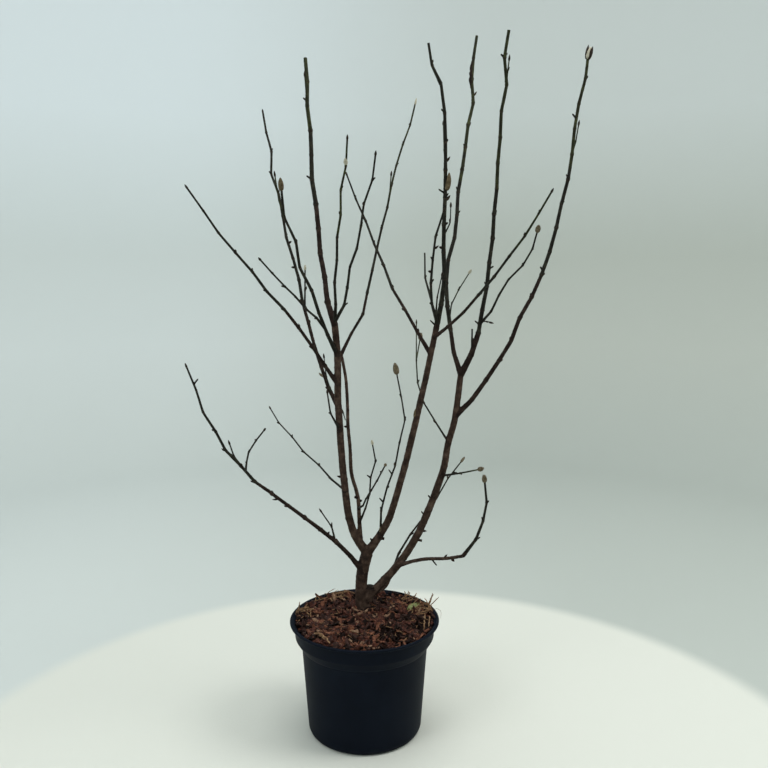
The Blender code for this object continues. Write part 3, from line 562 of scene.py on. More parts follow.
def lean_vector(degrees):
    return Vector((math.sin(math.radians(degrees)), 0.0, math.cos(math.radians(degrees))))


def smooth_line(start, tip, leaves, arrives, hold=1.0):
    """Points of a cubic that leaves its start and reaches its tip at the two leans."""
    span = tip - start
    pull = math.hypot(span.x, span.z) * hold
    depth = Vector((0.0, span.y, 0.0))
    out = lean_vector(leaves) * pull + depth
    into = lean_vector(arrives) * pull + depth
    points = []
    for step in range(SMOOTH_STEPS + 1):
        t = step / SMOOTH_STEPS
        near = 2 * t**3 - 3 * t**2 + 1
        points.append(start * near + tip * (1 - near) + out * (t**3 - 2 * t**2 + t) + into * (t**3 - t**2))
    return points


def line_length(points):
    return sum((b - a).length for a, b in zip(points, points[1:]))


def place_on(points, distance):
    """The point that far along a line, and the line's direction there."""
    left = distance
    for a, b in zip(points, points[1:]):
        step = (b - a).length
        if left <= step:
            return a.lerp(b, left / step), (b - a).normalized()
        left -= step
    return points[-1].copy(), (points[-1] - points[-2]).normalized()


def across(direction, turn):
    """A unit vector square to a direction, turned about it."""
    side = direction.cross(Vector((0.0, 1.0, 0.0))).normalized()
    other = direction.cross(side)
    return side * math.cos(turn) + other * math.sin(turn)


def bend_at(name, share, ahead):
    """How far a limb's bends push it aside at a share of its length."""
    push = sum(side * max(0.0, 1 - abs(share - place) / BEND_SPAN) for place, side in BENDS.get(name, []))
    return Vector((ahead.z, 0.0, -ahead.x)).normalized() * push


def kinked_joints(name, line, end, spacing, kink):
    """Joints along a line up to a distance, each pushed a little to alternate sides."""
    dice = random.Random(name)
    swing = dice.uniform(0, math.tau)
    count = max(2, round(end / spacing))
    joints = []
    for index in range(count + 1):
        point, ahead = place_on(line, end * index / count)
        if 0 < index < count:
            point += across(ahead, swing + index * math.pi) * kink * dice.uniform(0.5, 1.3)
            point += bend_at(name, index / count, ahead)
        joints.append(point)
    return joints


def taper(limb, joints):
    """Radius at each joint: an even taper with a swollen collar at the base."""
    total = line_length(joints)
    radii = []
    for index in range(len(joints)):
        done = line_length(joints[: index + 1])
        plain = limb.girth[0] + (limb.girth[1] - limb.girth[0]) * done / total
        radii.append(plain / 2 * (1 + COLLAR * math.exp(-done / (COLLAR_GIRTHS * limb.girth[0]))))
    return radii


def flared(joints, girth):
    """Radius at each joint of the trunk, with its root flare."""
    radii = []
    for joint in joints:
        height = joint.z - joints[0].z
        radii.append(girth / 2 * (1 + FLARE * math.exp(-height / FLARE_HEIGHT)))
    return radii


def grow_trunk():
    line = smooth_line(TRUNK_FOOT, Vector(TRUNK_TOP), *TRUNK_LEANS)
    joints = kinked_joints("trunk", line, line_length(line), TRUNK_JOINT, KINK / 3)
    return joints, flared(joints, TRUNK_GIRTH)


def grow_limbs():
    """Joints and radii of every limb, and where each one's bough ends."""
    joints, radii, split = {}, {}, {}
    joints["trunk"], radii["trunk"] = grow_trunk()
    split["trunk"] = len(joints["trunk"]) - 1
    for limb in LIMBS + FINE_TWIGS:
        parent = joints[limb.parent]
        start, _ = place_on(parent, line_length(parent) * limb.at)
        line = smooth_line(start, Vector(limb.tip), limb.leaves, limb.arrives, limb.hold)
        bud = limb.bud[0] if limb.bud else 0.0
        kink = KINK * min(1.0, KINK_GIRTH / limb.girth[0])
        grown = kinked_joints(limb.name, line, line_length(line) - bud, INTERNODE, kink)
        joints[limb.name] = grown
        radii[limb.name] = taper(limb, grown)
        split[limb.name] = round(limb.bough * (len(grown) - 1))
    return joints, radii, split


def bud_rings(tip, ahead, bud):
    """Rings of a bud that sits on a tip: points and radii."""
    length, width = bud
    shape = [(0.32, 0.50), (0.66, 0.43), (1.0, 0.12)]
    return [tip + ahead * length * along for along, _ in shape], [width * wide for _, wide in shape]


def distance_to(point, a, b):
    along = b - a
    t = max(0.0, min(1.0, (point - a).dot(along) / along.length_squared))
    return (point - a - along * t).length


def is_free(points, taken, own):
    """True if a twig stays clear of everything that is already there but its own limb."""
    for name, a, b, radius in taken:
        if name == own:
            continue
        for point in points[1:]:
            if distance_to(point, a, b) < radius + TWIG_ROOM:
                return False
    return True


def spur(joint, ahead, turn, radius, dice):
    """A short pointed spur that stands out of its limb's skin, leaning forward."""
    lean = math.radians(dice.uniform(*SPUR_LEANS))
    way = ahead * math.cos(lean) + across(ahead, turn) * math.sin(lean)
    length = radius / math.sin(lean) * 0.8 + dice.uniform(*SPUR_LENGTH)
    thick = SPUR_DIAMETER / 2
    points = [joint, joint + way * length * 0.6, joint + way * length]
    return Rod(points, [thick * 1.1, thick, thick * 0.3], 4)


def side_twig(joint, ahead, turn, dice):
    """A longer twig that curves up from its limb and ends in a bud."""
    depth = Vector((0.0, math.copysign(1.0, math.cos(turn)), 0.25))
    way = (ahead * 0.55 + depth.normalized() * 0.8).normalized()
    length = dice.uniform(*TWIG_LENGTH)
    thick = TWIG_DIAMETER / 2
    middle = joint + way * length * 0.5
    rise = (way + Vector((0.0, 0.0, 0.7))).normalized()
    tip = middle + rise * length * 0.5
    more, wide = bud_rings(tip, rise, LEAF_BUD)
    return Rod([joint, middle, tip] + more, [thick, thick * 0.9, thick * 0.8] + wide, 4)


def side_growth(limb, joints, radii, first, taken):
    """The spurs and side twigs of a limb's mass, one chance at each joint, by joint."""
    dice = random.Random(limb.name + " twigs")
    base = joints[first]
    turn = dice.uniform(0, math.tau)
    grown = {}
    for index in range(first + 1, len(joints) - 1):
        ahead = (joints[index + 1] - joints[index - 1]).normalized()
        turn += math.pi + dice.uniform(-0.8, 0.8)
        chance = dice.random()
        if chance < TWIG_SHARE:
            rod = side_twig(joints[index], ahead, turn, dice)
        elif chance < TWIG_SHARE + SPUR_SHARE:
            rod = spur(joints[index], ahead, turn, radii[index], dice)
        else:
            continue
        room = distance_to(rod.points[-1], base, joints[-1])
        if room > MASS_ROOM or not is_free(rod.points, taken, limb.name):
            continue
        grown[index] = rod
        taken += [(limb.name + "+", a, b, TWIG_DIAMETER / 2) for a, b in zip(rod.points, rod.points[1:])]
    return grown


# Meshes: closed tubes and turned shapes, gathered into one object for each kind


class Heap:
    """Gathers small closed meshes that become one object, with a paint for each face."""

    def __init__(self):
        self.points = []
        self.faces = []
        self.paints = []
        self.count = 0

    def add(self, points, faces, paint=0):
        """Adds a mesh; paint is one number for all its faces, or one for each."""
        base = self.count
        self.points.append(np.asarray(points, dtype=float))
        self.faces += [[base + corner for corner in face] for face in faces]
        self.paints += [paint] * len(faces) if isinstance(paint, int) else list(paint)
        self.count += len(points)

    def mesh(self, name):
        made = bpy.data.meshes.new(name)
        made.from_pydata(np.concatenate(self.points).tolist(), [], self.faces)
        made.polygons.foreach_set("material_index", self.paints)
        return made

    def build(self, name, paints, slot, nodes=(), crease=50):
        return show(name, self.mesh(name), paints, nodes, crease)


def in_scene(name, data):
    made = bpy.data.objects.new(name, data)
    bpy.context.scene.collection.objects.link(made)
    return made


def show(name, mesh, paints, nodes=(), crease=50):
    """Puts a mesh in the scene as a piece of the plant."""
    for paint in paints:
        mesh.materials.append(paint)
    mesh.shade_smooth()
    mesh.set_sharp_from_angle(angle=math.radians(crease))
    mesh.update()
    piece = in_scene(name, mesh)
    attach(piece, "root")
    if nodes:
        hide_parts(*nodes)
    return piece


def carried_frames(points):
    """Unit directions along a line, and two square to each that turn as little as they can."""
    ahead = np.gradient(points, axis=0)
    ahead /= np.linalg.norm(ahead, axis=1)[:, None]
    side = np.empty_like(ahead)
    guess = np.array((1.0, 0.0, 0.0)) if abs(ahead[0][1]) > 0.9 else np.array((0.0, 1.0, 0.0))
    last = np.cross(ahead[0], guess)
    for index, way in enumerate(ahead):
        last = last - way * last.dot(way)
        last /= np.linalg.norm(last)
        side[index] = last
    return ahead, side, np.cross(ahead, side)


def ring_faces(low, high, count):
    """The faces between two rings of points that start at two numbers."""
    pairs = [(here, (here + 1) % count) for here in range(count)]
    return [(low + here, low + after, high + after, high + here) for here, after in pairs]


def tube(points, radii, sides, relief=None):
    """A closed tube round a line: its points, and its faces ring by ring with a fan at each end."""
    points = np.asarray(points, dtype=float)
    _, side, other = carried_frames(points)
    turn = np.arange(sides) * math.tau / sides
    out = np.cos(turn)[None, :, None] * side[:, None] + np.sin(turn)[None, :, None] * other[:, None]
    reach = np.repeat(np.asarray(radii, dtype=float)[:, None], sides, axis=1)
    if relief is not None:
        reach = reach * (1 + relief)
    rings = points[:, None] + out * reach[:, :, None]
    count = len(points)
    whole = np.concatenate([rings.reshape(-1, 3), points[:1], points[-1:]])
    faces = []
    for ring in range(count - 1):
        faces += ring_faces(ring * sides, (ring + 1) * sides, sides)
    first, last, end = count * sides, count * sides + 1, (count - 1) * sides
    for here in range(sides):
        after = (here + 1) % sides
        faces.append((first, after, here))
        faces.append((last, end + here, end + after))
    return whole, faces


def seeded(name):
    return np.random.default_rng(random.Random(name).getrandbits(32))


def eased(share):
    return share * share * (3 - 2 * share)


def field(name, distance, turn, cell, around):
    """A smooth random field between -1 and 1 at places on a limb's skin, closed round the limb."""
    along = np.clip(distance, 0.0, None) / cell
    about = turn / math.tau * around
    row, column = np.floor(along).astype(int), np.floor(about).astype(int)
    grid = seeded(name).uniform(-1, 1, (int(along.max()) + 2, around))
    u, v = eased(along - row), eased(about - column)
    column = column % around
    after = (column + 1) % around
    low = grid[row, column] * (1 - v) + grid[row, after] * v
    high = grid[row + 1, column] * (1 - v) + grid[row + 1, after] * v
    return low * (1 - u) + high * u


def skin_field(name, distance, sides, cell, around):
    """A random field at the rings and sides of a tube."""
    spots, angles = np.meshgrid(distance, np.arange(sides) * math.tau / sides, indexing="ij")
    return field(name, spots.ravel(), angles.ravel(), cell, around).reshape(spots.shape)


def eased_line(joints, distance, ease):
    """Points at distances along the joints, with each corner eased over a short stretch."""
    corners = np.array([tuple(joint) for joint in joints])
    steps = np.linalg.norm(np.diff(corners, axis=0), axis=1)
    marks = np.concatenate([[0.0], np.cumsum(steps)])
    reach = np.minimum(ease, np.minimum(distance, marks[-1] - distance))
    line = np.zeros((len(distance), 3))
    for share in (-1.0, -0.5, 0.0, 0.5, 1.0):
        at = distance + reach * share
        line += np.stack([np.interp(at, marks, corners[:, axis]) for axis in range(3)], axis=1)
    return line / 5, marks


def bark_relief(name, distance, turn, marks, depth, rings):
    """Long ridges, grain, cross wrinkles, warts, and the raised ring of each node."""
    relief = np.zeros_like(distance)
    for kind, (share, cell, around) in (("ridges", RIDGES), ("grain", GRAIN), ("wrinkles", WRINKLES)):
        about = turn * 0.0 if around == 1 else turn
        relief += depth * share * field(f"{name} {kind}", distance, about, cell, around)
    dice = seeded(name + " warts")
    for _ in range(int(distance.max() / WART_SPACING)):
        spot, angle, size = dice.uniform(0, distance.max()), dice.uniform(0, math.tau), dice.uniform(0.5, 1.0)
        near = np.abs(distance - spot) < WART_REACH
        swing = np.abs((turn[near] - angle + math.pi) % math.tau - math.pi)
        wart = np.exp(-(((distance[near] - spot) / WART_LENGTH) ** 2) - (swing / WART_TURN) ** 2)
        relief[near] += depth * WART_HEIGHT * size * wart
    cut, below, wide = GROOVE
    for mark in marks[1:-1]:
        ring = np.exp(-(((distance - mark) / RING_WIDTH) ** 2))
        ring -= cut * np.exp(-(((distance - mark + below) / wide) ** 2))
        relief += depth * rings * ring
    return relief


def node_swelling(name, distance, marks):
    """How much thicker a limb is at and near each node."""
    swell = np.ones_like(distance)
    sizes = seeded(name + " nodes").uniform(*NODE_SWELL, len(marks))
    for mark, size in zip(marks[1:-1], sizes[1:-1]):
        swell += size * np.exp(-(((distance - mark) / NODE_REACH) ** 2))
    return swell


def limb_skin(name, joints, radii, step, sides, ease, depth, rings=1.5):
    """The rings of a limb from end to end."""
    length = line_length(joints)
    distance = np.linspace(0.0, length, max(4, round(length / step)) + 1)
    line, marks = eased_line(joints, distance, ease)
    girth = np.interp(distance, marks, radii) * node_swelling(name, distance, marks)
    spots, turns = np.meshgrid(distance, np.arange(sides) * math.tau / sides, indexing="ij")
    relief = bark_relief(name, spots.ravel(), turns.ravel(), marks, depth, rings).reshape(spots.shape)
    return Skin(distance, line, girth, relief, marks)


def ring_paints(distance, marks, plain, scar):
    """A paint for each ring of a tube's faces, with a scar's paint at each node."""
    middle = (distance[1:] + distance[:-1]) / 2
    if len(marks) < 3:
        return [plain] * len(middle)
    scars = marks[1:-1] - SCAR_DROP
    return [scar if np.min(np.abs(scars - place)) < SCAR_WIDTHS[0] else plain for place in middle]


def add_stretch(heap, skin, first, sides, paints, scar, cut=None):
    """Adds the rings of a limb from a distance to its end as a closed tube."""
    inside = skin.distance >= first
    distance, line, girth, relief = [part[inside] for part in skin[:4]]
    if first > 0.0:
        girth = girth * np.interp(distance - distance[0], [0.0, BLEND / 2], [SHOOT_SINK, 1.0])
    middle = (distance[0] + distance[-1]) / 2
    faces_paint = []
    for place, ring in zip(distance[:-1], ring_paints(distance, skin.marks, -1, scar)):
        # With two paints the upper half takes the second one, which on the olive shoots is partly painted
        # light
        plain = paints[0] if place < middle else paints[-1]
        faces_paint += [plain if ring < 0 else ring] * sides
    points, faces = tube(line, girth, sides, relief)
    end = paints[-1] if cut is None else cut
    heap.add(points, faces, faces_paint + [end] * (2 * sides))


# Wood: the trunk, stems and boughs as one skin


def wood_reach(limb, joints, split):
    """How far along a limb the wood's skin runs: its bough, or a short snag where it leaves wood."""
    parent = joints[limb.parent]
    if limb.at * (len(parent) - 1) > split[limb.parent]:
        return 0.0
    if split[limb.name] > 0:
        return line_length(joints[limb.name][: split[limb.name] + 1])
    return SNAG


def wood_tubes(joints, radii, split):
    """Plain tubes of all the wood, with a short snag where a mass of twigs springs from it."""
    heap = Heap()
    foot = joints["trunk"][0] - Vector((0.0, 0.0, TRUNK_BURIED))
    distance = np.linspace(0.0, line_length(joints["trunk"]), TRUNK_RINGS)
    places, marks = eased_line(joints["trunk"], distance, WOOD_EASE)
    girth = np.interp(distance, marks, radii["trunk"])
    heap.add(*tube(np.vstack([foot, places]), np.append(girth[0], girth), WOOD_SIDES))
    stub = [Vector(STUB_FOOT), Vector(STUB_TOP)]
    places, marks = eased_line(stub, np.linspace(0.0, line_length(stub), STUB_RINGS), 0.0)
    heap.add(*tube(places, np.linspace(STUB_GIRTH / 2, STUB_GIRTH / 2.2, STUB_RINGS), WOOD_SIDES))
    for limb in LIMBS:
        reach = wood_reach(limb, joints, split)
        if reach == 0.0:
            continue
        distance = np.linspace(0.0, reach, max(4, round(reach / WOOD_STEP)) + 1)
        ease = WOOD_EASE if limb.bough == 1.0 else SHOOT_EASE
        places, marks = eased_line(joints[limb.name], distance, ease)
        girth = np.interp(distance, marks, radii[limb.name])
        if limb.bough < 1.0:
            girth = girth * node_swelling(limb.name, distance, marks)
            girth = girth * np.interp(reach - distance, [0.0, BLEND], [WOOD_SINK, 1.0])
        heap.add(*tube(places, girth, WOOD_SIDES))
    return heap


def merged(heap):
    """One closed skin round all the tubes of a heap."""
    source = in_scene("wood_tubes", heap.mesh("wood_tubes"))
    remesh = source.modifiers.new("skin", "REMESH")
    remesh.mode = "VOXEL"
    remesh.voxel_size = WOOD_VOXEL
    graph = bpy.context.evaluated_depsgraph_get()
    mesh = bpy.data.meshes.new_from_object(source.evaluated_get(graph))
    bpy.data.objects.remove(source)
    mesh.materials.clear()
    return mesh


def read_places(mesh):
    places = np.empty(len(mesh.vertices) * 3)
    mesh.vertices.foreach_get("co", places)
    return places.reshape(-1, 3)


def write_places(mesh, places):
    """Moves a mesh's points, and gives the directions out of its skin."""
    mesh.vertices.foreach_set("co", places.ravel())
    mesh.update()
    out = np.empty(len(mesh.vertices) * 3)
    mesh.vertex_normals.foreach_get("vector", out)
    return out.reshape(-1, 3)


def mean_of_neighbours(places, ends, linked):
    total = np.empty_like(places)
    count = len(places)
    for axis in range(3):
        total[:, axis] = np.bincount(ends[:, 0], places[ends[:, 1], axis], count)
        total[:, axis] += np.bincount(ends[:, 1], places[ends[:, 0], axis], count)
    return total / linked


def grow_forks(mesh, forks):
    """Smooths the skin, then fills the creases of the forks outward, as wood does."""
    places = read_places(mesh)
    ends = np.empty(len(mesh.edges) * 2, dtype=int)
    mesh.edges.foreach_get("vertices", ends)
    ends = ends.reshape(-1, 2)
    linked = np.bincount(ends.ravel(), minlength=len(places))[:, None]
    for _ in range(SMOOTH_ROUNDS):
        places += SMOOTH_PULLS[0] * (mean_of_neighbours(places, ends, linked) - places)
        places -= SMOOTH_PULLS[1] * (mean_of_neighbours(places, ends, linked) - places)
    near = np.zeros(len(places))
    for place, reach in forks:
        away = np.linalg.norm(places - np.array(place), axis=1)
        near = np.maximum(near, np.exp(-((away / reach) ** 2)))
    out = write_places(mesh, places)
    for _ in range(FORK_FILL):
        pull = mean_of_neighbours(places, ends, linked) - places
        push = np.clip(np.einsum("ij,ij->i", pull, out), 0.0, None)
        places += out * (push * near * FORK_PUSH)[:, None]
        out = write_places(mesh, places)
    return places, out, near


def wood_samples(joints):
    """Places every millimetre or so along all limbs, to find which limb a point is on."""
    rows = []
    for number, (name, line) in enumerate(joints.items()):
        length = line_length(line)
        distance = np.linspace(0.0, length, max(4, round(length / WOOD_STEP)) + 1)
        places, _ = eased_line(line, distance, WOOD_EASE)
        ahead, side, other = carried_frames(places)
        for row in zip(distance, places, ahead, side, other):
            rows.append((number, *row))
    return rows


def make_wood(paints, joints, radii, split):
    """The trunk, stems and boughs with their forks grown together and their bark's relief."""
    mesh = merged(wood_tubes(joints, radii, split))
    joints = {name: line for name, line in joints.items() if name in split and name not in FINE_NAMES}
    forks = []
    for limb in LIMBS:
        parent = radii[limb.parent][round(limb.at * (len(radii[limb.parent]) - 1))]
        forks.append((joints[limb.name][0], FORK_GIRTHS * (parent + radii[limb.name][0])))
    places, out, near = grow_forks(mesh, forks)
    rows = wood_samples(joints)
    tree = kdtree.KDTree(len(rows))
    for index, row in enumerate(rows):
        tree.insert(row[2], index)
    tree.balance()
    nearest = np.array([tree.find(place)[1] for place in places])
    owner = np.array([row[0] for row in rows])[nearest]
    stack = [np.array([row[column] for row in rows])[nearest] for column in range(1, 6)]
    distance, centre, ahead, side, other = stack
    away = places - centre
    distance = distance + np.einsum("ij,ij->i", away, ahead)
    turn = np.arctan2(np.einsum("ij,ij->i", away, other), np.einsum("ij,ij->i", away, side)) % math.tau
    lift = np.zeros(len(places))
    paint = np.zeros(len(places), dtype=int)
    for number, (name, line) in enumerate(joints.items()):
        own = np.nonzero(owner == number)[0]
        if not len(own):
            continue
        marks = eased_line(line, np.array([0.0]), 0.0)[1]
        plain = name == "trunk" or split[name] == len(line) - 1
        rings = RING_STRENGTHS[0 if plain else 1]
        relief = bark_relief(name, distance[own], turn[own], marks, WOOD_DEPTH, rings)
        lift[own] = relief * np.interp(distance[own], marks, radii[name])
        if not plain:
            paint[own] = 2
            for mark in marks[1:-1]:
                paint[own[np.abs(distance[own] - mark + SCAR_DROP) < SCAR_WIDTHS[1]]] = 1
    crumple = np.array([noise.noise(Vector(place) * CRUMPLES_PER_METRE) for place in places]) * CRUMPLE
    lift = lift * (1 - FORK_PLAIN * near) + crumple
    write_places(mesh, places + out * lift[:, None])
    first = np.array([face.vertices[0] for face in mesh.polygons])
    mesh.polygons.foreach_set("material_index", paint[first].tolist())
    woody = [
        name for name in frame["nodes"] if not name.endswith("_twigs") and name not in ("pot", "bark_mulch")
    ]
    show("stems_and_boughs", mesh, [paints["old_bark"], paints["scar"], paints["bough_bark"]], woody)


# Buds, spurs and stubs


BUD_SPIRAL = 2.2
BUD_SCALES = 0.07
UPWARD = Vector((0, 0, 0.12))
HAIR_LENGTH = (0.0010, 0.0021)
HAIR_WIDTH = 0.00008
HAIR_ROOT = 0.0001
HAIRS = {"mark": 160, "tip": 420}
# A spur's wood as a share of its length, and its width from base to tip
SPUR_WOOD = 0.62
SPUR_SHAPE = ([0.0, 0.3, 0.7, 0.85, 1.0], [0.72, 0.56, 0.44, 0.50, 0.40])
SPUR_SIDES = 9
TWIG_SIDES = 10
# A cut stub's width from its collar to its end, the two rings of its cut, and its sides
STUB_SHAPE = ([0.0, 0.5, 0.9, 1.0], [0.62, 0.50, 0.50, 0.47])
STUB_CUT = [(0.00015, 0.42), (0.0002, 0.25)]
STUB_SIDES = 14
NODE_BUD_LENGTH = (0.0042, 0.0072)
NODE_BUD_WIDTH = 0.0027
CANKER_ROWS = 26
CANKER_SIDES = 16
LEAF_BUD_SHAPE = [(0.0, 0.55), (0.1, 0.8), (0.3, 1.0), (0.52, 0.93), (0.72, 0.68), (0.88, 0.36), (1.0, 0.05)]
FUR_BUD_SHAPE = [
    (0.0, 0.42), (0.06, 0.72), (0.2, 0.96), (0.38, 1.0), (0.56, 0.93),
    (0.72, 0.76), (0.86, 0.5), (0.95, 0.27), (1.0, 0.05),
]
BUD_SHAPES = {"leaf": LEAF_BUD_SHAPE, "fur": FUR_BUD_SHAPE}


def width_at(shape, share):
    """A bud's width at a share of its length, as a share of its greatest."""
    return np.interp(share, [place for place, _ in shape], [wide for _, wide in shape])


def add_bud(heap, base, way, bud, shape, bend, name, paint=0, sides=10):
    """A bud that starts on a point and swells along a direction, bent towards another."""
    length, width = bud
    steps = [t for a, b in zip(shape, shape[1:]) for t in (a[0], (a[0] + b[0]) / 2)] + [1.0]
    along = np.array(steps)
    wide = width_at(shape, along)
    line = [tuple(base + way * length * t + bend * length * t * t) for t in steps]
    turn = np.arange(sides) * math.tau / sides
    start = random.Random(name).uniform(0, math.tau)
    spiral = np.sin(2 * turn[None, :] + start + BUD_SPIRAL * along[:, None])
    scales = BUD_SCALES * spiral * np.sin(math.pi * along)[:, None]
    points, faces = tube(line, wide * width / 2, sides, scales)
    heap.add(points, faces, paint)


def add_fur(heap, base, way, bud, bend, name, count):
    """Fine hairs that lie forward along a furry bud."""
    length, width = bud
    dice = random.Random(name + " fur")
    for _ in range(count):
        t = dice.uniform(0.02, 0.93)
        out = across(way, dice.uniform(0, math.tau))
        wide = width_at(FUR_BUD_SHAPE, t) * width / 2
        root = base + way * length * t + bend * length * t * t + out * wide * 0.92
        hair = (way * dice.uniform(0.8, 1.1) + out * dice.uniform(0.25, 0.6)).normalized()
        reach = dice.uniform(*HAIR_LENGTH)
        flat = hair.cross(out).normalized() * HAIR_WIDTH
        corners = [root + flat, root - flat, root - out * HAIR_ROOT, root + hair * reach]
        faces = [(0, 2, 1), (0, 1, 3), (1, 2, 3), (2, 0, 3)]
        heap.add([tuple(corner) for corner in corners], faces, dice.choice((0, 0, 1)))


def add_spur(side, buds, base, way, length, width, name, paint=0):
    """A thick-footed spur that narrows to a pressed, pointed bud."""
    woody = length * SPUR_WOOD
    distance = np.linspace(0, woody, 12)
    relief = 0.12 * skin_field(f"{name} wood", distance, SPUR_SIDES, 0.0009, 3)
    line = [tuple(base + way * d) for d in distance]
    girth = np.interp(distance / woody, *SPUR_SHAPE) * width
    side.add(*tube(line, girth, SPUR_SIDES, relief), paint)
    bud = (length - woody * 0.9, width * 0.92)
    add_bud(buds, base + way * woody * 0.9, way, bud, LEAF_BUD_SHAPE, UPWARD, name, sides=SPUR_SIDES)


def add_cut_stub(heap, base, way, length, width, name):
    """A stub that was cut off: a barky collar, a short leg and a flat dark end."""
    distance = np.append(np.linspace(0, length, 12), [length + past for past, _ in STUB_CUT])
    relief = 0.09 * skin_field(f"{name} stub", distance, STUB_SIDES, 0.0016, 5)
    shares = np.interp(distance / length, *STUB_SHAPE)
    shares[-2:] = [share for _, share in STUB_CUT]
    points, faces = tube([tuple(base + way * d) for d in distance], shares * width, STUB_SIDES, relief)
    wood = len(distance) - 3
    heap.add(points, faces, [0] * (wood * STUB_SIDES) + [1] * (2 * STUB_SIDES) + [0, 1] * STUB_SIDES)


def dress_marks(side, stubs, buds, fur, joints, radii):
    """The spurs, stubs and buds that grow at named places."""
    for number, mark in enumerate(MARKS):
        line = joints[mark.limb]
        base, ahead = place_on(line, line_length(line) * mark.share)
        out = across(ahead, math.radians(mark.turn))
        thick = radii[mark.limb][round(mark.share * (len(line) - 1))]
        name = f"{mark.limb} mark {number}"
        lean = MARK_LEANS[mark.kind]
        way = (ahead * (1 - lean) + out * lean).normalized()
        root = base + out * thick * 0.45
        bud = (mark.length, mark.width)
        if mark.kind == "cut":
            add_cut_stub(stubs, root, way, *bud, name)
        elif mark.kind == "nub":
            add_spur(side, buds, root, way, *bud, name)
        else:
            shape, along, aside, paint, sides = MARK_BUDS[mark.kind]
            bend = ahead * along - out * aside
            heap = stubs if mark.kind == "knob" else buds
            add_bud(heap, root, way, bud, BUD_SHAPES[shape], bend, name, paint, sides)
            if mark.kind == "pale":
                add_fur(fur, root, way, bud, bend, name, HAIRS["mark"])


def dress_side_growth(side, buds, grown, limb, paint):
    """Spurs and side twigs with finer rings, each with its bud."""
    for index, rod in grown.items():
        if len(rod.points) == 3:
            base, tip = rod.points[0], rod.points[-1]
            way = (tip - base).normalized()
            length = (tip - base).length * SPUR_TRIM
            add_spur(side, buds, base, way, length, SPUR_DIAMETER, f"{limb.name} {index}", paint)
        else:
            joints = rod.points[:3]
            name = f"{limb.name} twig {index}"
            skin = limb_skin(name, joints, rod.radii[:3], SHOOT_STEP, TWIG_SIDES, SHOOT_EASE, SHOOT_DEPTH)
            add_stretch(side, skin, 0.0, TWIG_SIDES, [1], 1)
            ahead = (joints[-1] - joints[-2]).normalized()
            name = f"{limb.name} end {index}"
            add_bud(buds, joints[-1], ahead, LEAF_BUD, LEAF_BUD_SHAPE, UPWARD, name)


def dress_nodes(buds, limb, joints, radii, grown):
    """A small bud pressed to the limb at each node that has no spur or twig."""
    dice = random.Random(limb.name + " nodes")
    turn = dice.uniform(0, math.tau)
    for index in range(1, len(joints) - 1):
        ahead = (joints[index + 1] - joints[index - 1]).normalized()
        turn += math.pi + dice.uniform(-0.6, 0.6)
        size = dice.uniform(*NODE_BUD_LENGTH)
        if index in grown:
            continue
        out = across(ahead, turn)
        way = (ahead + out * 0.52).normalized()
        base = joints[index] + out * radii[index] * 0.72
        name = f"{limb.name} node {index}"
        add_bud(buds, base, way, (size, NODE_BUD_WIDTH), LEAF_BUD_SHAPE, -out * 0.15, name, sides=8)


def dress_tip(buds, fur, limb, tip, ahead):
    """The bud that ends a limb: a slim leaf bud, a furry one, or one that has burst its scales."""
    bend = Vector((0.0, 0.0, 0.05))
    paint = BUD_PAINTS.get(limb.name)
    if limb.bud == LEAF_BUD:
        shape, wide = (LEAF_BUD_SHAPE, 1.0) if paint is None else (FUR_BUD_SHAPE, 1.35)
        bud = (LEAF_BUD[0], LEAF_BUD[1] * wide)
        add_bud(buds, tip - ahead * 0.0006, ahead, bud, shape, bend, limb.name, paint=paint or 0)
        return
    length, width = limb.bud
    base = tip - ahead * 0.001
    if limb.name == BURST_LIMB:
        length, width = BURST_BUD
        base = tip - ahead * BURST_START
        ahead = (ahead + Vector(BURST_LEAN)).normalized()
        add_bud(buds, base, ahead, (length * 0.84, width), FUR_BUD_SHAPE, bend, limb.name, paint=2, sides=14)
        for number in range(3):
            out = across(ahead, math.radians(120 * number))
            scale = (length * (1.0 - 0.09 * number), width * 0.62)
            add_bud(buds, base + out * width * 0.20, (ahead + out * 0.16).normalized(), scale, LEAF_BUD_SHAPE,
                    -out * 0.05, f"{limb.name} scale {number}", sides=10)
        return
    grown = (length * 0.98, width * 1.28 * SLIM_BUDS.get(limb.name, 1.0))
    fur_paint = 1 if paint is None else paint
    add_bud(buds, base, ahead, grown, FUR_BUD_SHAPE, bend, limb.name, fur_paint, sides=16)
    if paint is None:
        add_fur(fur, base, ahead, grown, bend, limb.name, HAIRS["tip"])


def add_canker(heap, joints):
    """A swollen, ridged scar that lies along one side of a shoot."""
    name, first, last, turn, thick = CANKER
    line = joints[name]
    length = line_length(line)
    places, girth = [], []
    for row in range(CANKER_ROWS):
        t = row / (CANKER_ROWS - 1)
        point, ahead = place_on(line, length * (first + (last - first) * t))
        places.append(tuple(point + across(ahead, math.radians(turn)) * thick * 0.55))
        girth.append(thick * (0.35 + 0.65 * math.sin(math.pi * t) ** 0.6))
    distance = np.linspace(0, length * (last - first), CANKER_ROWS)
    relief = 0.26 * skin_field("canker", distance, CANKER_SIDES, 0.0032, 5)
    heap.add(*tube(places, girth, CANKER_SIDES, relief))


def sides_of(radius):
    return 18 if radius > 0.002 else 12


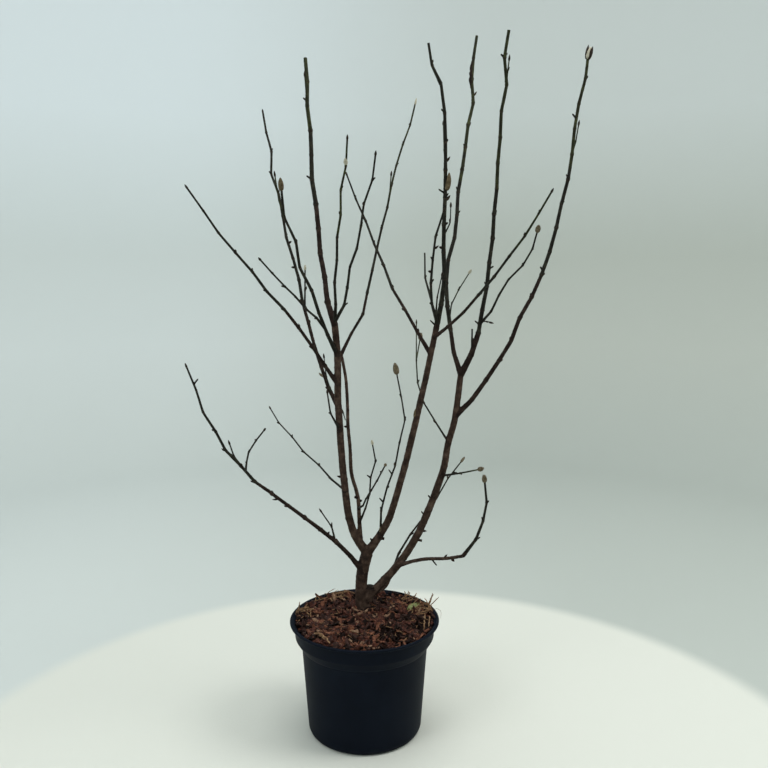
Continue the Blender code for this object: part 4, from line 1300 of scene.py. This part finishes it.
def make_plant(paints):
    joints, radii, split = grow_limbs()
    make_wood(paints, joints, radii, split)
    shoots, side, stubs, buds, fur = Heap(), Heap(), Heap(), Heap(), Heap()
    taken = []
    for name, line in joints.items():
        if name not in FINE_NAMES:
            taken += [(name, a, b, radius) for a, b, radius in zip(line, line[1:], radii[name])]
    for limb in LIMBS + FINE_TWIGS:
        line, sizes = joints[limb.name], radii[limb.name]
        if limb.bough < 1.0:
            sizes = [size * SLIM_LIMBS.get(limb.name, 1.0) for size in sizes]
            olive_and_lit = limb.name in OLIVE_AND_LIT_LIMBS
            sides = sides_of(sizes[len(sizes) // 2])
            skin = limb_skin(limb.name, line, sizes, SHOOT_STEP, sides, SHOOT_EASE, SHOOT_DEPTH)
            start = 0.0 if limb in FINE_TWIGS else max(0.0, wood_reach(limb, joints, split) - BLEND)
            # The olive paint on these limbs is partly their olive bark and partly painted light that stands
            # in for their lit sides
            add_stretch(shoots, skin, start, sides, [0, 1] if olive_and_lit else [0], 2, None if limb.bud else 3)
            grown = {} if limb in FINE_TWIGS else side_growth(limb, line, sizes, split[limb.name], taken)
            dress_side_growth(side, buds, grown, limb, 1 if olive_and_lit else 0)
            dress_nodes(buds, limb, line, sizes, grown)
        if limb.bud:
            dress_tip(buds, fur, limb, line[-1], (line[-1] - line[-2]).normalized())
    dress_marks(side, stubs, buds, fur, joints, radii)
    add_canker(stubs, joints)
    top, up = Vector(STUB_TOP), (Vector(STUB_TOP) - Vector(STUB_FOOT)).normalized()
    add_cut_stub(stubs, top - up * 0.003, up, 0.0042, STUB_GIRTH * 1.02, "crotch stub")
    masses = [name for name in frame["nodes"] if name.endswith("_twigs")]
    shoot_paints = [paints[name] for name in ("brown_shoot", "green_shoot", "scar", "cut_wood")]
    shoots.build("shoots", shoot_paints, "shoots", masses)
    side.build("side_twigs", shoot_paints[:2], "shoots", masses)
    stubs.build("stubs", [paints["bough_bark"], paints["cut_wood"]], "bark")
    bud_paints = [paints[name] for name in ("bud_scale", "bud_fur", "cream_bud", "husk")]
    buds.build("buds", bud_paints, "shoots", masses)
    fur.build("bud_hairs", [paints["bud_fur"], paints["pale_hair"]], "shoots", masses)


# Materials


def shader_of(name, roughness, shine):
    made = bpy.data.materials.new(name)
    made.use_nodes = True
    shader = made.node_tree.nodes["Principled BSDF"]
    shader.inputs["Roughness"].default_value = roughness
    shader.inputs["Specular IOR Level"].default_value = shine
    return made, made.node_tree, shader


def add_node(tree, kind, values=None, links=None, **fields):
    """A shader node with its fields, its constants and what feeds it."""
    made = tree.nodes.new("ShaderNode" + kind)
    for name, value in fields.items():
        setattr(made, name, value)
    for name, value in (values or {}).items():
        made.inputs[name].default_value = value
    for name, socket in (links or {}).items():
        tree.links.new(socket, made.inputs[name])
    return made


def noise_node(tree, place, scale, detail, rough=0.6):
    values = {"Scale": scale, "Detail": detail, "Roughness": rough}
    return add_node(tree, "TexNoise", values, {"Vector": place}).outputs["Fac"]


def ramp_node(tree, factor, stops):
    """A colour ramp through stops of place and colour."""
    made = add_node(tree, "ValToRGB", links={"Fac": factor})
    ramp = made.color_ramp
    while len(ramp.elements) < len(stops):
        ramp.elements.new(0.5)
    for element, (place, colour) in zip(ramp.elements, stops):
        element.position = place
        element.color = (*colour, 1.0)
    return made.outputs["Color"]


def ranged(tree, value, start, end, how="LINEAR"):
    """A value that goes from 0 to 1 between two ends."""
    ends = {"From Min": start, "From Max": end}
    return add_node(tree, "MapRange", ends, {"Value": value}, interpolation_type=how).outputs["Result"]


def bumped(tree, shader, grain, strength, depth):
    relief = add_node(tree, "Bump", {"Strength": strength, "Distance": depth}, {"Height": grain})
    tree.links.new(relief.outputs["Normal"], shader.inputs["Normal"])


def mixed(tree, factor, low, high):
    """One colour that goes over into another."""
    links = {"Factor": factor, "A": low, "B": high}
    return add_node(tree, "Mix", links=links, data_type="RGBA").outputs["Result"]


# How much smoother and rougher than its mean a surface is in places
WEAR = (0.12, 0.10)
# Where a surface's dark, plain and light tones lie in its drift
TONE_PLACES = (0.30, 0.52, 0.74)

Paint = namedtuple("Paint", "name dark plain light coarse fine bump depth roughness shine")

# name, dark, plain and light tone, drift and grain per metre, relief strength and depth,
# roughness and shine
PAINTS = [
    Paint("old_bark", (0.0128, 0.0074, 0.0056), (0.043, 0.0262, 0.019),
          (0.108, 0.071, 0.053), 90, 900, 0.6, 0.0006, 0.85, 0.1),
    Paint("bough_bark", (0.0065, 0.0038, 0.003), (0.02, 0.012, 0.0092),
          (0.052, 0.034, 0.026), 110, 1100, 0.5, 0.0005, 0.8, 0.1),
    Paint("brown_shoot", (0.0042, 0.0036, 0.0025), (0.013, 0.0118, 0.0076),
          (0.034, 0.0315, 0.019), 120, 1300, 0.4, 0.0004, 0.7, 0.14),
    # Olive shoot paint, lighter than the brown: partly the olive colour of young bark, partly painted light
    # for the lit side of tall shoots
    Paint("green_shoot", (0.0069, 0.007, 0.0029), (0.0221, 0.0237, 0.0086),
          (0.063, 0.0689, 0.0238), 80, 1300, 0.4, 0.0004, 0.68, 0.14),
    Paint("scar", (0.012, 0.008, 0.0055), (0.032, 0.022, 0.016),
          (0.075, 0.056, 0.04), 300, 1500, 0.4, 0.0003, 0.85, 0.1),
    Paint("cut_wood", (0.004, 0.003, 0.0024), (0.011, 0.008, 0.006),
          (0.038, 0.027, 0.019), 500, 2000, 0.4, 0.0003, 0.88, 0.08),
    Paint("bud_scale", (0.0085, 0.0055, 0.0036), (0.022, 0.0145, 0.009),
          (0.056, 0.041, 0.025), 260, 1500, 0.3, 0.0003, 0.7, 0.14),
    Paint("bud_fur", (0.05, 0.037, 0.022), (0.125, 0.098, 0.061),
          (0.24, 0.195, 0.13), 420, 2400, 0.6, 0.0003, 0.9, 0.1),
    Paint("pale_hair", (0.2, 0.185, 0.14), (0.32, 0.3, 0.235),
          (0.46, 0.44, 0.36), 420, 2400, 0.3, 0.0002, 0.8, 0.2),
    Paint("cream_bud", (0.26, 0.24, 0.17), (0.42, 0.39, 0.3),
          (0.58, 0.55, 0.45), 420, 2400, 0.4, 0.0003, 0.8, 0.2),
    Paint("husk", (0.048, 0.034, 0.018), (0.105, 0.078, 0.044),
          (0.2, 0.155, 0.095), 320, 1800, 0.5, 0.0004, 0.85, 0.1),
    Paint("pot_plastic", (0.0027, 0.0046, 0.0092), (0.0033, 0.0056, 0.011),
          (0.0043, 0.007, 0.0132), 14, 700, 0.1, 0.0003, 0.56, 0.05),
    Paint("peat", (0.003, 0.0018, 0.0014), (0.009, 0.005, 0.0036),
          (0.026, 0.0135, 0.009), 160, 900, 0.8, 0.001, 0.95, 0.05),
    Paint("red_chip", (0.015, 0.0042, 0.0028), (0.052, 0.015, 0.009),
          (0.165, 0.06, 0.037), 300, 1200, 0.7, 0.0007, 0.7, 0.16),
    Paint("brown_chip", (0.009, 0.0037, 0.0026), (0.028, 0.011, 0.0078),
          (0.09, 0.04, 0.028), 300, 1200, 0.7, 0.0007, 0.7, 0.16),
    Paint("dark_chip", (0.0034, 0.0017, 0.0013), (0.0085, 0.004, 0.003),
          (0.028, 0.014, 0.01), 210, 1200, 0.7, 0.0007, 0.76, 0.08),
    Paint("orange_chip", (0.048, 0.0155, 0.008), (0.12, 0.043, 0.0225),
          (0.3, 0.138, 0.078), 300, 1200, 0.7, 0.0007, 0.7, 0.16),
    Paint("tan_chip", (0.105, 0.053, 0.031), (0.21, 0.12, 0.072),
          (0.38, 0.26, 0.17), 210, 1200, 0.7, 0.0007, 0.7, 0.2),
    Paint("straw", (0.085, 0.043, 0.021), (0.2, 0.112, 0.056),
          (0.4, 0.27, 0.148), 240, 1400, 0.4, 0.0004, 0.75, 0.2),
    Paint("leaf_green", (0.08, 0.085, 0.026), (0.145, 0.165, 0.05),
          (0.21, 0.235, 0.08), 240, 1500, 0.3, 0.0003, 0.55, 0.3),
]


def mottled(paint):
    """A surface whose colour drifts between three tones, with fine relief."""
    made, tree, shader = shader_of(paint.name, paint.roughness, paint.shine)
    place = add_node(tree, "TexCoord").outputs["Object"]
    drift = noise_node(tree, place, paint.coarse, 5.0, 0.65)
    colour = ramp_node(tree, drift, list(zip(TONE_PLACES, (paint.dark, paint.plain, paint.light))))
    tree.links.new(colour, shader.inputs["Base Color"])
    grain = noise_node(tree, place, paint.fine, 4.0)
    bumped(tree, shader, grain, paint.bump, paint.depth)
    ends = {"To Min": max(0.0, paint.roughness - WEAR[0]), "To Max": min(1.0, paint.roughness + WEAR[1])}
    worn = add_node(tree, "MapRange", ends, {"Value": grain})
    tree.links.new(worn.outputs["Result"], shader.inputs["Roughness"])
    return made


def studio_paint():
    """Matt paint: a whiter round floor, and a wall with painted light on it: lighter on its left and at its
    top, darker at its right and its foot, for how the light falls.
    """
    made, tree, shader = shader_of("studio", 0.95, 0.1)
    place = add_node(tree, "TexCoord").outputs["Object"]
    parts = add_node(tree, "SeparateXYZ", links={"Vector": place})
    # Painted light: the wall, and the floor beyond the whiter round, go from lit at the left to shaded at the
    # right, and from a shaded foot to a lit top
    spread = ranged(tree, parts.outputs["X"], *LIGHT_FALLOFF_ENDS, "SMOOTHSTEP")
    upright = ramp_node(tree, spread, [(0.0, FOOT_LEFT), (1.0, FOOT_RIGHT)])
    for left, right, heights in ((WALL_LEFT, WALL_RIGHT, WALL_HEIGHTS), (TOP_LEFT, TOP_RIGHT, TOP_HEIGHTS)):
        tone = ramp_node(tree, spread, [(0.0, left), (1.0, right)])
        upright = mixed(tree, ranged(tree, parts.outputs["Z"], *heights), upright, tone)
    x, y, radius, edge = FLOOR_DISC
    away = add_node(tree, "VectorMath", links={0: place}, operation="DISTANCE")
    away.inputs[1].default_value = (x, y, 0.0)
    beyond = ranged(tree, away.outputs["Value"], radius - edge / 2, radius + edge / 2, "SMOOTHSTEP")
    floor = add_node(tree, "RGB")
    floor.outputs["Color"].default_value = (*STUDIO_FLOOR, 1.0)
    tree.links.new(mixed(tree, beyond, floor.outputs["Color"], upright), shader.inputs["Base Color"])
    bumped(tree, shader, noise_node(tree, place, 260, 3.0), 0.25, 0.001)
    return made


def make_materials():
    paints = {paint.name: mottled(paint) for paint in PAINTS}
    paints["studio"] = studio_paint()
    return paints


# Pot


def rounded(profile, reach, count=4):
    """The profile with each inner corner turned into a short arc."""
    points = [Vector(place) for place in profile]
    eased_points = [points[0]]
    for before, here, after in zip(points, points[1:], points[2:]):
        back, on = before - here, after - here
        trim = min(reach, back.length * 0.45, on.length * 0.45)
        start, end = here + back.normalized() * trim, here + on.normalized() * trim
        for step in range(count + 1):
            t = step / count
            eased_points.append(start * (1 - t) ** 2 + here * 2 * t * (1 - t) + end * t * t)
    eased_points.append(points[-1])
    return eased_points


def turned(profile, steps):
    """Points and faces of a profile of radii and heights, turned round the z axis."""
    points, faces = [], []
    for step in range(steps):
        angle = math.tau * step / steps
        points += [(radius * math.cos(angle), radius * math.sin(angle), height) for radius, height in profile]
    count = len(profile)
    for step in range(steps):
        here, after = step * count, (step + 1) % steps * count
        for index in range(count - 1):
            faces.append((here + index, here + index + 1, after + index + 1, after + index))
    return points, faces


def make_pot(paints):
    """The pot's outside, lip, inside down past the mulch, and underside."""
    collar_foot = POT_HEIGHT - COLLAR_HEIGHT
    under_lip = POT_HEIGHT - LIP_HEIGHT
    hub, dish = POT_HUB, POT_DISH
    profile = [
        (hub, POT_FLOOR),
        (COLLAR_FOOT_RADIUS - WALL, POT_FLOOR),
        (COLLAR_BEND_RADIUS - WALL, POT_HEIGHT - BEND_HEIGHT + WALL),
        (COLLAR_TOP_RADIUS - WALL, under_lip),
        (RIM_RADIUS - 2 * WALL, POT_HEIGHT - WALL / 4),
        (RIM_RADIUS - WALL, POT_HEIGHT),
        (RIM_RADIUS, POT_HEIGHT - WALL / 2),
        (RIM_RADIUS, under_lip),
        (COLLAR_TOP_RADIUS, under_lip - WALL),
        (COLLAR_BEND_RADIUS, POT_HEIGHT - BEND_HEIGHT),
        (COLLAR_FOOT_RADIUS, collar_foot),
        (BODY_TOP_RADIUS, collar_foot - WALL),
        (BODY_FOOT_RADIUS, FOOT_ROUNDING),
        (BODY_FOOT_RADIUS - FOOT_ROUNDING * 0.3, FOOT_ROUNDING * 0.3),
        (BODY_FOOT_RADIUS - FOOT_ROUNDING, 0.0),
        (BODY_FOOT_RADIUS - 3 * FOOT_ROUNDING, 0.0),
        (BODY_FOOT_RADIUS - 3 * FOOT_ROUNDING - dish, dish),
        (hub, dish),
    ]
    points, faces = turned(rounded(profile, POT_CORNER), POT_STEPS)
    heap = Heap()
    count = len(points) // POT_STEPS
    faces.append([step * count for step in range(POT_STEPS)])
    faces.append([step * count + count - 1 for step in reversed(range(POT_STEPS))])
    heap.add(points, [face[::-1] for face in faces])
    heap.build("nursery_pot", [paints["pot_plastic"]], "pot_plastic", ["pot"], crease=35)


# Mulch


def lump(x, y):
    """Height of the mulch over its level, nil under the trunk."""
    away = math.hypot(x - TRUNK_FOOT.x, y - TRUNK_FOOT.y)
    ease = max(0.0, min(1.0, (away - FLAT_SPOT) / FLAT_SPOT))
    return SOIL_LUMP * ease * noise.noise(Vector((x, y, 0.0)) * LUMPS_PER_METRE)


def ground(x, y):
    """Height of the mulch with its fine crumbs."""
    crumbs = sum(noise.noise(Vector((x, y, seed)) * dense) * high for seed, dense, high in CRUMBS)
    return SOIL_TOP + lump(x, y) + crumbs


def make_bed(paints):
    """The crumbly bed under the chips, with a skirt down inside the pot."""
    points = [(0.0, 0.0, ground(0.0, 0.0))]
    faces = []
    for ring in range(1, BED_RINGS + 1):
        radius = BED_EDGE * ring / BED_RINGS
        for step in range(BED_STEPS):
            angle = math.tau * step / BED_STEPS
            x, y = radius * math.cos(angle), radius * math.sin(angle)
            points.append((x, y, ground(x, y)))
    skirt = BED_EDGE - BED_SKIRT / 3
    for step in range(BED_STEPS):
        angle = math.tau * step / BED_STEPS
        points.append((skirt * math.cos(angle), skirt * math.sin(angle), SOIL_TOP - BED_SKIRT))
    for step in range(BED_STEPS):
        after = (step + 1) % BED_STEPS
        faces.append((0, 1 + step, 1 + after))
        for ring in range(BED_RINGS):
            low, high = 1 + ring * BED_STEPS, 1 + (ring + 1) * BED_STEPS
            faces.append((low + step, high + step, high + after, low + after))
    last = 1 + BED_RINGS * BED_STEPS
    faces.append([last + step for step in reversed(range(BED_STEPS))])
    heap = Heap()
    heap.add(points, faces)
    heap.build("mulch_bed", [paints["peat"]], "mulch", ["bark_mulch"])


def flake(dice, long, wide, thick):
    """A torn flake of bark: a ragged outline with some thickness, a little curled."""
    count = dice.randint(*FLAKE_CORNERS)
    curl = dice.uniform(-FLAKE_CURL, FLAKE_CURL) / long
    rim = []
    for index in range(count):
        angle = math.tau * (index + dice.uniform(-0.3, 0.3)) / count
        reach = dice.uniform(*FLAKE_REACH)
        rim.append((long / 2 * reach * math.cos(angle), wide / 2 * reach * math.sin(angle)))
    points = []
    for side in (-1, 1):
        for x, y in rim:
            shrink = dice.uniform(*FLAKE_TOP) if side > 0 else 1.0
            z = side * thick / 2 * dice.uniform(*FLAKE_THICK) + curl * x * x * 2
            points.append((x * shrink, y * shrink, z))
    points.append((0.0, 0.0, thick / 2 * dice.uniform(*FLAKE_PEAK)))
    top = 2 * count
    faces = [tuple(reversed(range(count)))]
    for index in range(count):
        after = (index + 1) % count
        faces.append((index, after, count + after, count + index))
        faces.append((count + index, count + after, top))
    return points, faces


def shred(dice, long, wide, thick):
    """A torn strip of bark: bent, twisted and frayed narrow at its ends."""
    stations = SHRED_STATIONS
    bow, curl = dice.uniform(-SHRED_BOW, SHRED_BOW), dice.uniform(*SHRED_CURL)
    twist = dice.uniform(-SHRED_TWIST, SHRED_TWIST)
    narrows, power = SHRED_NARROWS
    points, faces = [], []
    for station in range(stations):
        t = 2 * station / (stations - 1) - 1
        half = wide / 2 * (1 - narrows * abs(t) ** power) * dice.uniform(*SHRED_WIDE)
        deep = thick / 2 * dice.uniform(*SHRED_THICK)
        turn = twist * t / 2
        for y, z in ((-half, -deep), (half, -deep), (half, deep), (-half, deep)):
            sideways = y * math.cos(turn) - z * math.sin(turn) + bow * long * t * t / 2
            upward = y * math.sin(turn) + z * math.cos(turn) + curl * long * t * t / 2
            fray = dice.uniform(-SHRED_FRAY, SHRED_FRAY) * long
            points.append((long / 2 * t + fray, sideways, upward))
    for station in range(stations - 1):
        faces += ring_faces(4 * station, 4 * station + 4, 4)
    end = 4 * (stations - 1)
    faces += [(0, 3, 2, 1), (end, end + 1, end + 2, end + 3)]
    return points, faces


def laid(points, place, yaw, pitch, roll):
    """Points turned about their middle and moved to a place."""
    turn = np.array(Euler((roll, pitch, yaw)).to_matrix())
    return np.asarray(points) @ turn.T + np.asarray(place)


def scatter(dice, edge):
    """A random place on the mulch, away from the trunk."""
    while True:
        radius, angle = edge * math.sqrt(dice.random()), dice.uniform(0, math.tau)
        x, y = radius * math.cos(angle), radius * math.sin(angle)
        if math.hypot(x - TRUNK_FOOT.x, y - TRUNK_FOOT.y) > TRUNK_ROOM:
            return x, y


def rim_pile(x, y):
    """How much higher the chips lie where they are heaped against the pot's lip."""
    return max(0.0, math.hypot(x, y) - RIM_PILE) * RIM_RISE


def is_peat(x, y):
    return any(math.hypot(x - across_x, y - along_y) < radius for across_x, along_y, radius in PEAT_PATCHES)


def make_chips(paints):
    """Torn shreds, flakes and crumbs of bark, from coarse to fine."""
    heap = Heap()
    dice = random.Random("chips")
    names = list(CHIP_SHARES)
    for shape, count, long_range, wide_range, thick in CHIP_KINDS:
        make = shred if shape == "shred" else flake
        for _ in range(count):
            long = dice.uniform(*long_range)
            x, y = scatter(dice, CHIP_EDGE - 0.001)
            points, faces = make(dice, long, long * dice.uniform(*wide_range), thick * dice.uniform(0.7, 1.3))
            lift = ground(x, y) + rim_pile(x, y) + thick * dice.uniform(0.3, 1.5)
            pitch, roll = CHIP_TILTS
            turns = (dice.uniform(0, math.tau), dice.gauss(0, pitch), dice.gauss(0, roll))
            placed = laid(points, (x, y, lift), *turns)
            paint = dice.choices(range(len(names)), CHIP_SHARES.values())[0]
            if is_peat(x, y) and dice.random() < PEAT_SHARE:
                paint = names.index("dark_chip")
            if np.max(np.hypot(placed[:, 0], placed[:, 1])) < CHIP_EDGE:
                heap.add(placed, faces, paint)
    for chip in PLACED_CHIPS:
        points, faces = shred(dice, chip.long, chip.wide, PLACED_CHIP_THICK)
        place = (chip.x, chip.y, ground(chip.x, chip.y) + PLACED_CHIP_LIFT)
        heap.add(laid(points, place, math.radians(chip.yaw), -0.05, 0.1), faces, names.index(chip.paint))
    heap.build("mulch_chips", [paints[name] for name in names], "mulch", ["bark_mulch"], crease=25)


def add_straw(heap, places, thick):
    """A straw or root through a few places, each given over the level of the mulch."""
    corners = np.array([(x, y, SOIL_TOP + height) for x, y, height in places])
    share = np.linspace(0, len(corners) - 1, STRAW_POINTS)
    line = np.stack([np.interp(share, range(len(corners)), corners[:, axis]) for axis in range(3)], axis=1)
    for _ in range(STRAW_SMOOTHING):
        line[1:-1] = (line[:-2] + 2 * line[1:-1] + line[2:]) / 4
    wobble = seeded(f"straw {places[0]}").normal(0, thick * STRAW_WOBBLE, (STRAW_POINTS, 3))
    heap.add(*tube(line + wobble, np.interp(share / share[-1], *STRAW_SHAPE) * thick, STRAW_SIDES))


def add_leaf(heap):
    """The one green leaf that lies on the mulch, folded a little along its midrib."""
    rows, half = LEAF_ROWS, LEAF_COLUMNS
    slim, fore, round_out = LEAF_OUTLINE
    height, waves = LEAF_WAVE
    points, faces = [], []
    for row in range(rows):
        t = row / (rows - 1)
        wide = LEAF_WIDE / 2 * (slim + (1 - slim) * math.sin(math.pi * t ** fore) ** round_out)
        for column in range(-half, half + 1):
            s = column / half
            fold = abs(s) * LEAF_FOLD + height * math.sin(waves * t) * s
            points.append((LEAF_LONG * (t - 0.5), wide * s, fold - LEAF_DROOP * LEAF_LONG * (2 * t - 1) ** 2))
    across_count = 2 * half + 1
    for row in range(rows - 1):
        for column in range(across_count - 1):
            low = row * across_count + column
            faces.append((low, low + across_count, low + across_count + 1, low + 1))
    under = len(points)
    points += [(x, y, z - LEAF_THICK) for x, y, z in points]
    faces += [tuple(under + corner for corner in reversed(face)) for face in faces]
    heap.add(laid(points, LEAF_PLACE, *[math.radians(turn) for turn in LEAF_TURNS]), faces, 1)


def make_straw(paints):
    """Dry straws and fine roots on the mulch, some over the rim, and a leaf."""
    heap = Heap()
    dice = random.Random("straw")
    for places, thick in STRAWS:
        add_straw(heap, [tuple(part / MILLI for part in place) for place in places], thick / MILLI)
    for _ in range(LOOSE_STRAWS):
        x, y = scatter(dice, CHIP_EDGE - LOOSE_EDGE)
        yaw, long = dice.uniform(0, math.tau), dice.uniform(*LOOSE_LONG)
        places = []
        for step in (-1, 0, 1):
            turn = yaw + 0.5 * step * dice.uniform(-1, 1)
            height = lump(x, y) + LOOSE_HEIGHT[0] + dice.uniform(0.0, LOOSE_HEIGHT[1])
            places.append((x + step * long * math.cos(turn), y + step * long * math.sin(turn), height))
        add_straw(heap, places, dice.uniform(*LOOSE_THICK))
    for middle_x, middle_y, spread, count in STRAW_PATCHES:
        for _ in range(count):
            away, angle = spread * math.sqrt(dice.random()), dice.uniform(0, math.tau)
            x, y = middle_x + away * math.cos(angle), middle_y + away * math.sin(angle)
            yaw, long = dice.uniform(0, math.tau), dice.uniform(*PATCH_LONG)
            rise = dice.uniform(0.0, PATCH_RISE)
            places = []
            for step in (-1, 0, 1):
                along_x, along_y = x + step * long * math.cos(yaw), y + step * long * math.sin(yaw)
                shrink = min(1.0, (CHIP_EDGE - 0.001) / math.hypot(along_x, along_y))
                height = PATCH_HEIGHT[0] + rise * (step + 1) / 2 + dice.uniform(0.0, PATCH_HEIGHT[1])
                places.append((along_x * shrink, along_y * shrink, height))
            add_straw(heap, places, dice.uniform(*PATCH_THICK))
    add_leaf(heap)
    heap.build("straw_and_leaf", [paints["straw"], paints["leaf_green"]], "mulch", ["bark_mulch"])


# Stage


def make_stage(paints):
    """A pale floor that sweeps up into a round pale wall, all the way round."""
    profile = [Vector((STAGE_HOLE, 0.0)), Vector((STAGE_FLOOR, 0.0))]
    for step in range(1, SWEEP_STEPS + 1):
        angle = math.pi / 2 * step / SWEEP_STEPS
        out, up = STAGE_SWEEP * math.sin(angle), STAGE_SWEEP * (1 - math.cos(angle))
        profile.append(Vector((STAGE_FLOOR + out, up)))
    profile.append(Vector((STAGE_FLOOR + STAGE_SWEEP, STAGE_HEIGHT)))
    points, faces = turned(profile, STAGE_STEPS)
    faces.append([step * len(profile) for step in range(STAGE_STEPS)])
    mesh = bpy.data.meshes.new("studio")
    mesh.from_pydata(points, [], faces)
    mesh.materials.append(paints["studio"])
    mesh.shade_smooth()
    in_scene("studio", mesh)


def make_lights():
    for lamp in LAMPS:
        data = bpy.data.lights.new(lamp.name, "AREA")
        data.shape = "DISK"
        data.size = lamp.size
        data.energy = lamp.power
        data.color = lamp.colour
        made = in_scene(lamp.name, data)
        made.location = lamp.place
        made.rotation_euler = (Vector(lamp.aim) - Vector(lamp.place)).to_track_quat("-Z", "Y").to_euler()
    world = bpy.data.worlds.new("soft_light")
    bpy.context.scene.world = world
    world.use_nodes = True
    background = world.node_tree.nodes["Background"]
    background.inputs["Color"].default_value = SKY_COLOUR
    background.inputs["Strength"].default_value = SKY_STRENGTH


def make_camera():
    data = bpy.data.cameras.new("camera")
    data.lens = CAMERA_LENS
    made = in_scene("camera", data)
    made.location = CAMERA_PLACE
    made.rotation_euler = (math.radians(90 - CAMERA_PITCH), 0.0, 0.0)
    bpy.context.scene.camera = made


make_camera()
paints = make_materials()
make_stage(paints)
make_lights()
make_pot(paints)
make_bed(paints)
make_chips(paints)
make_straw(paints)
make_plant(paints)
bpy.context.scene.view_settings.view_transform = "Standard"
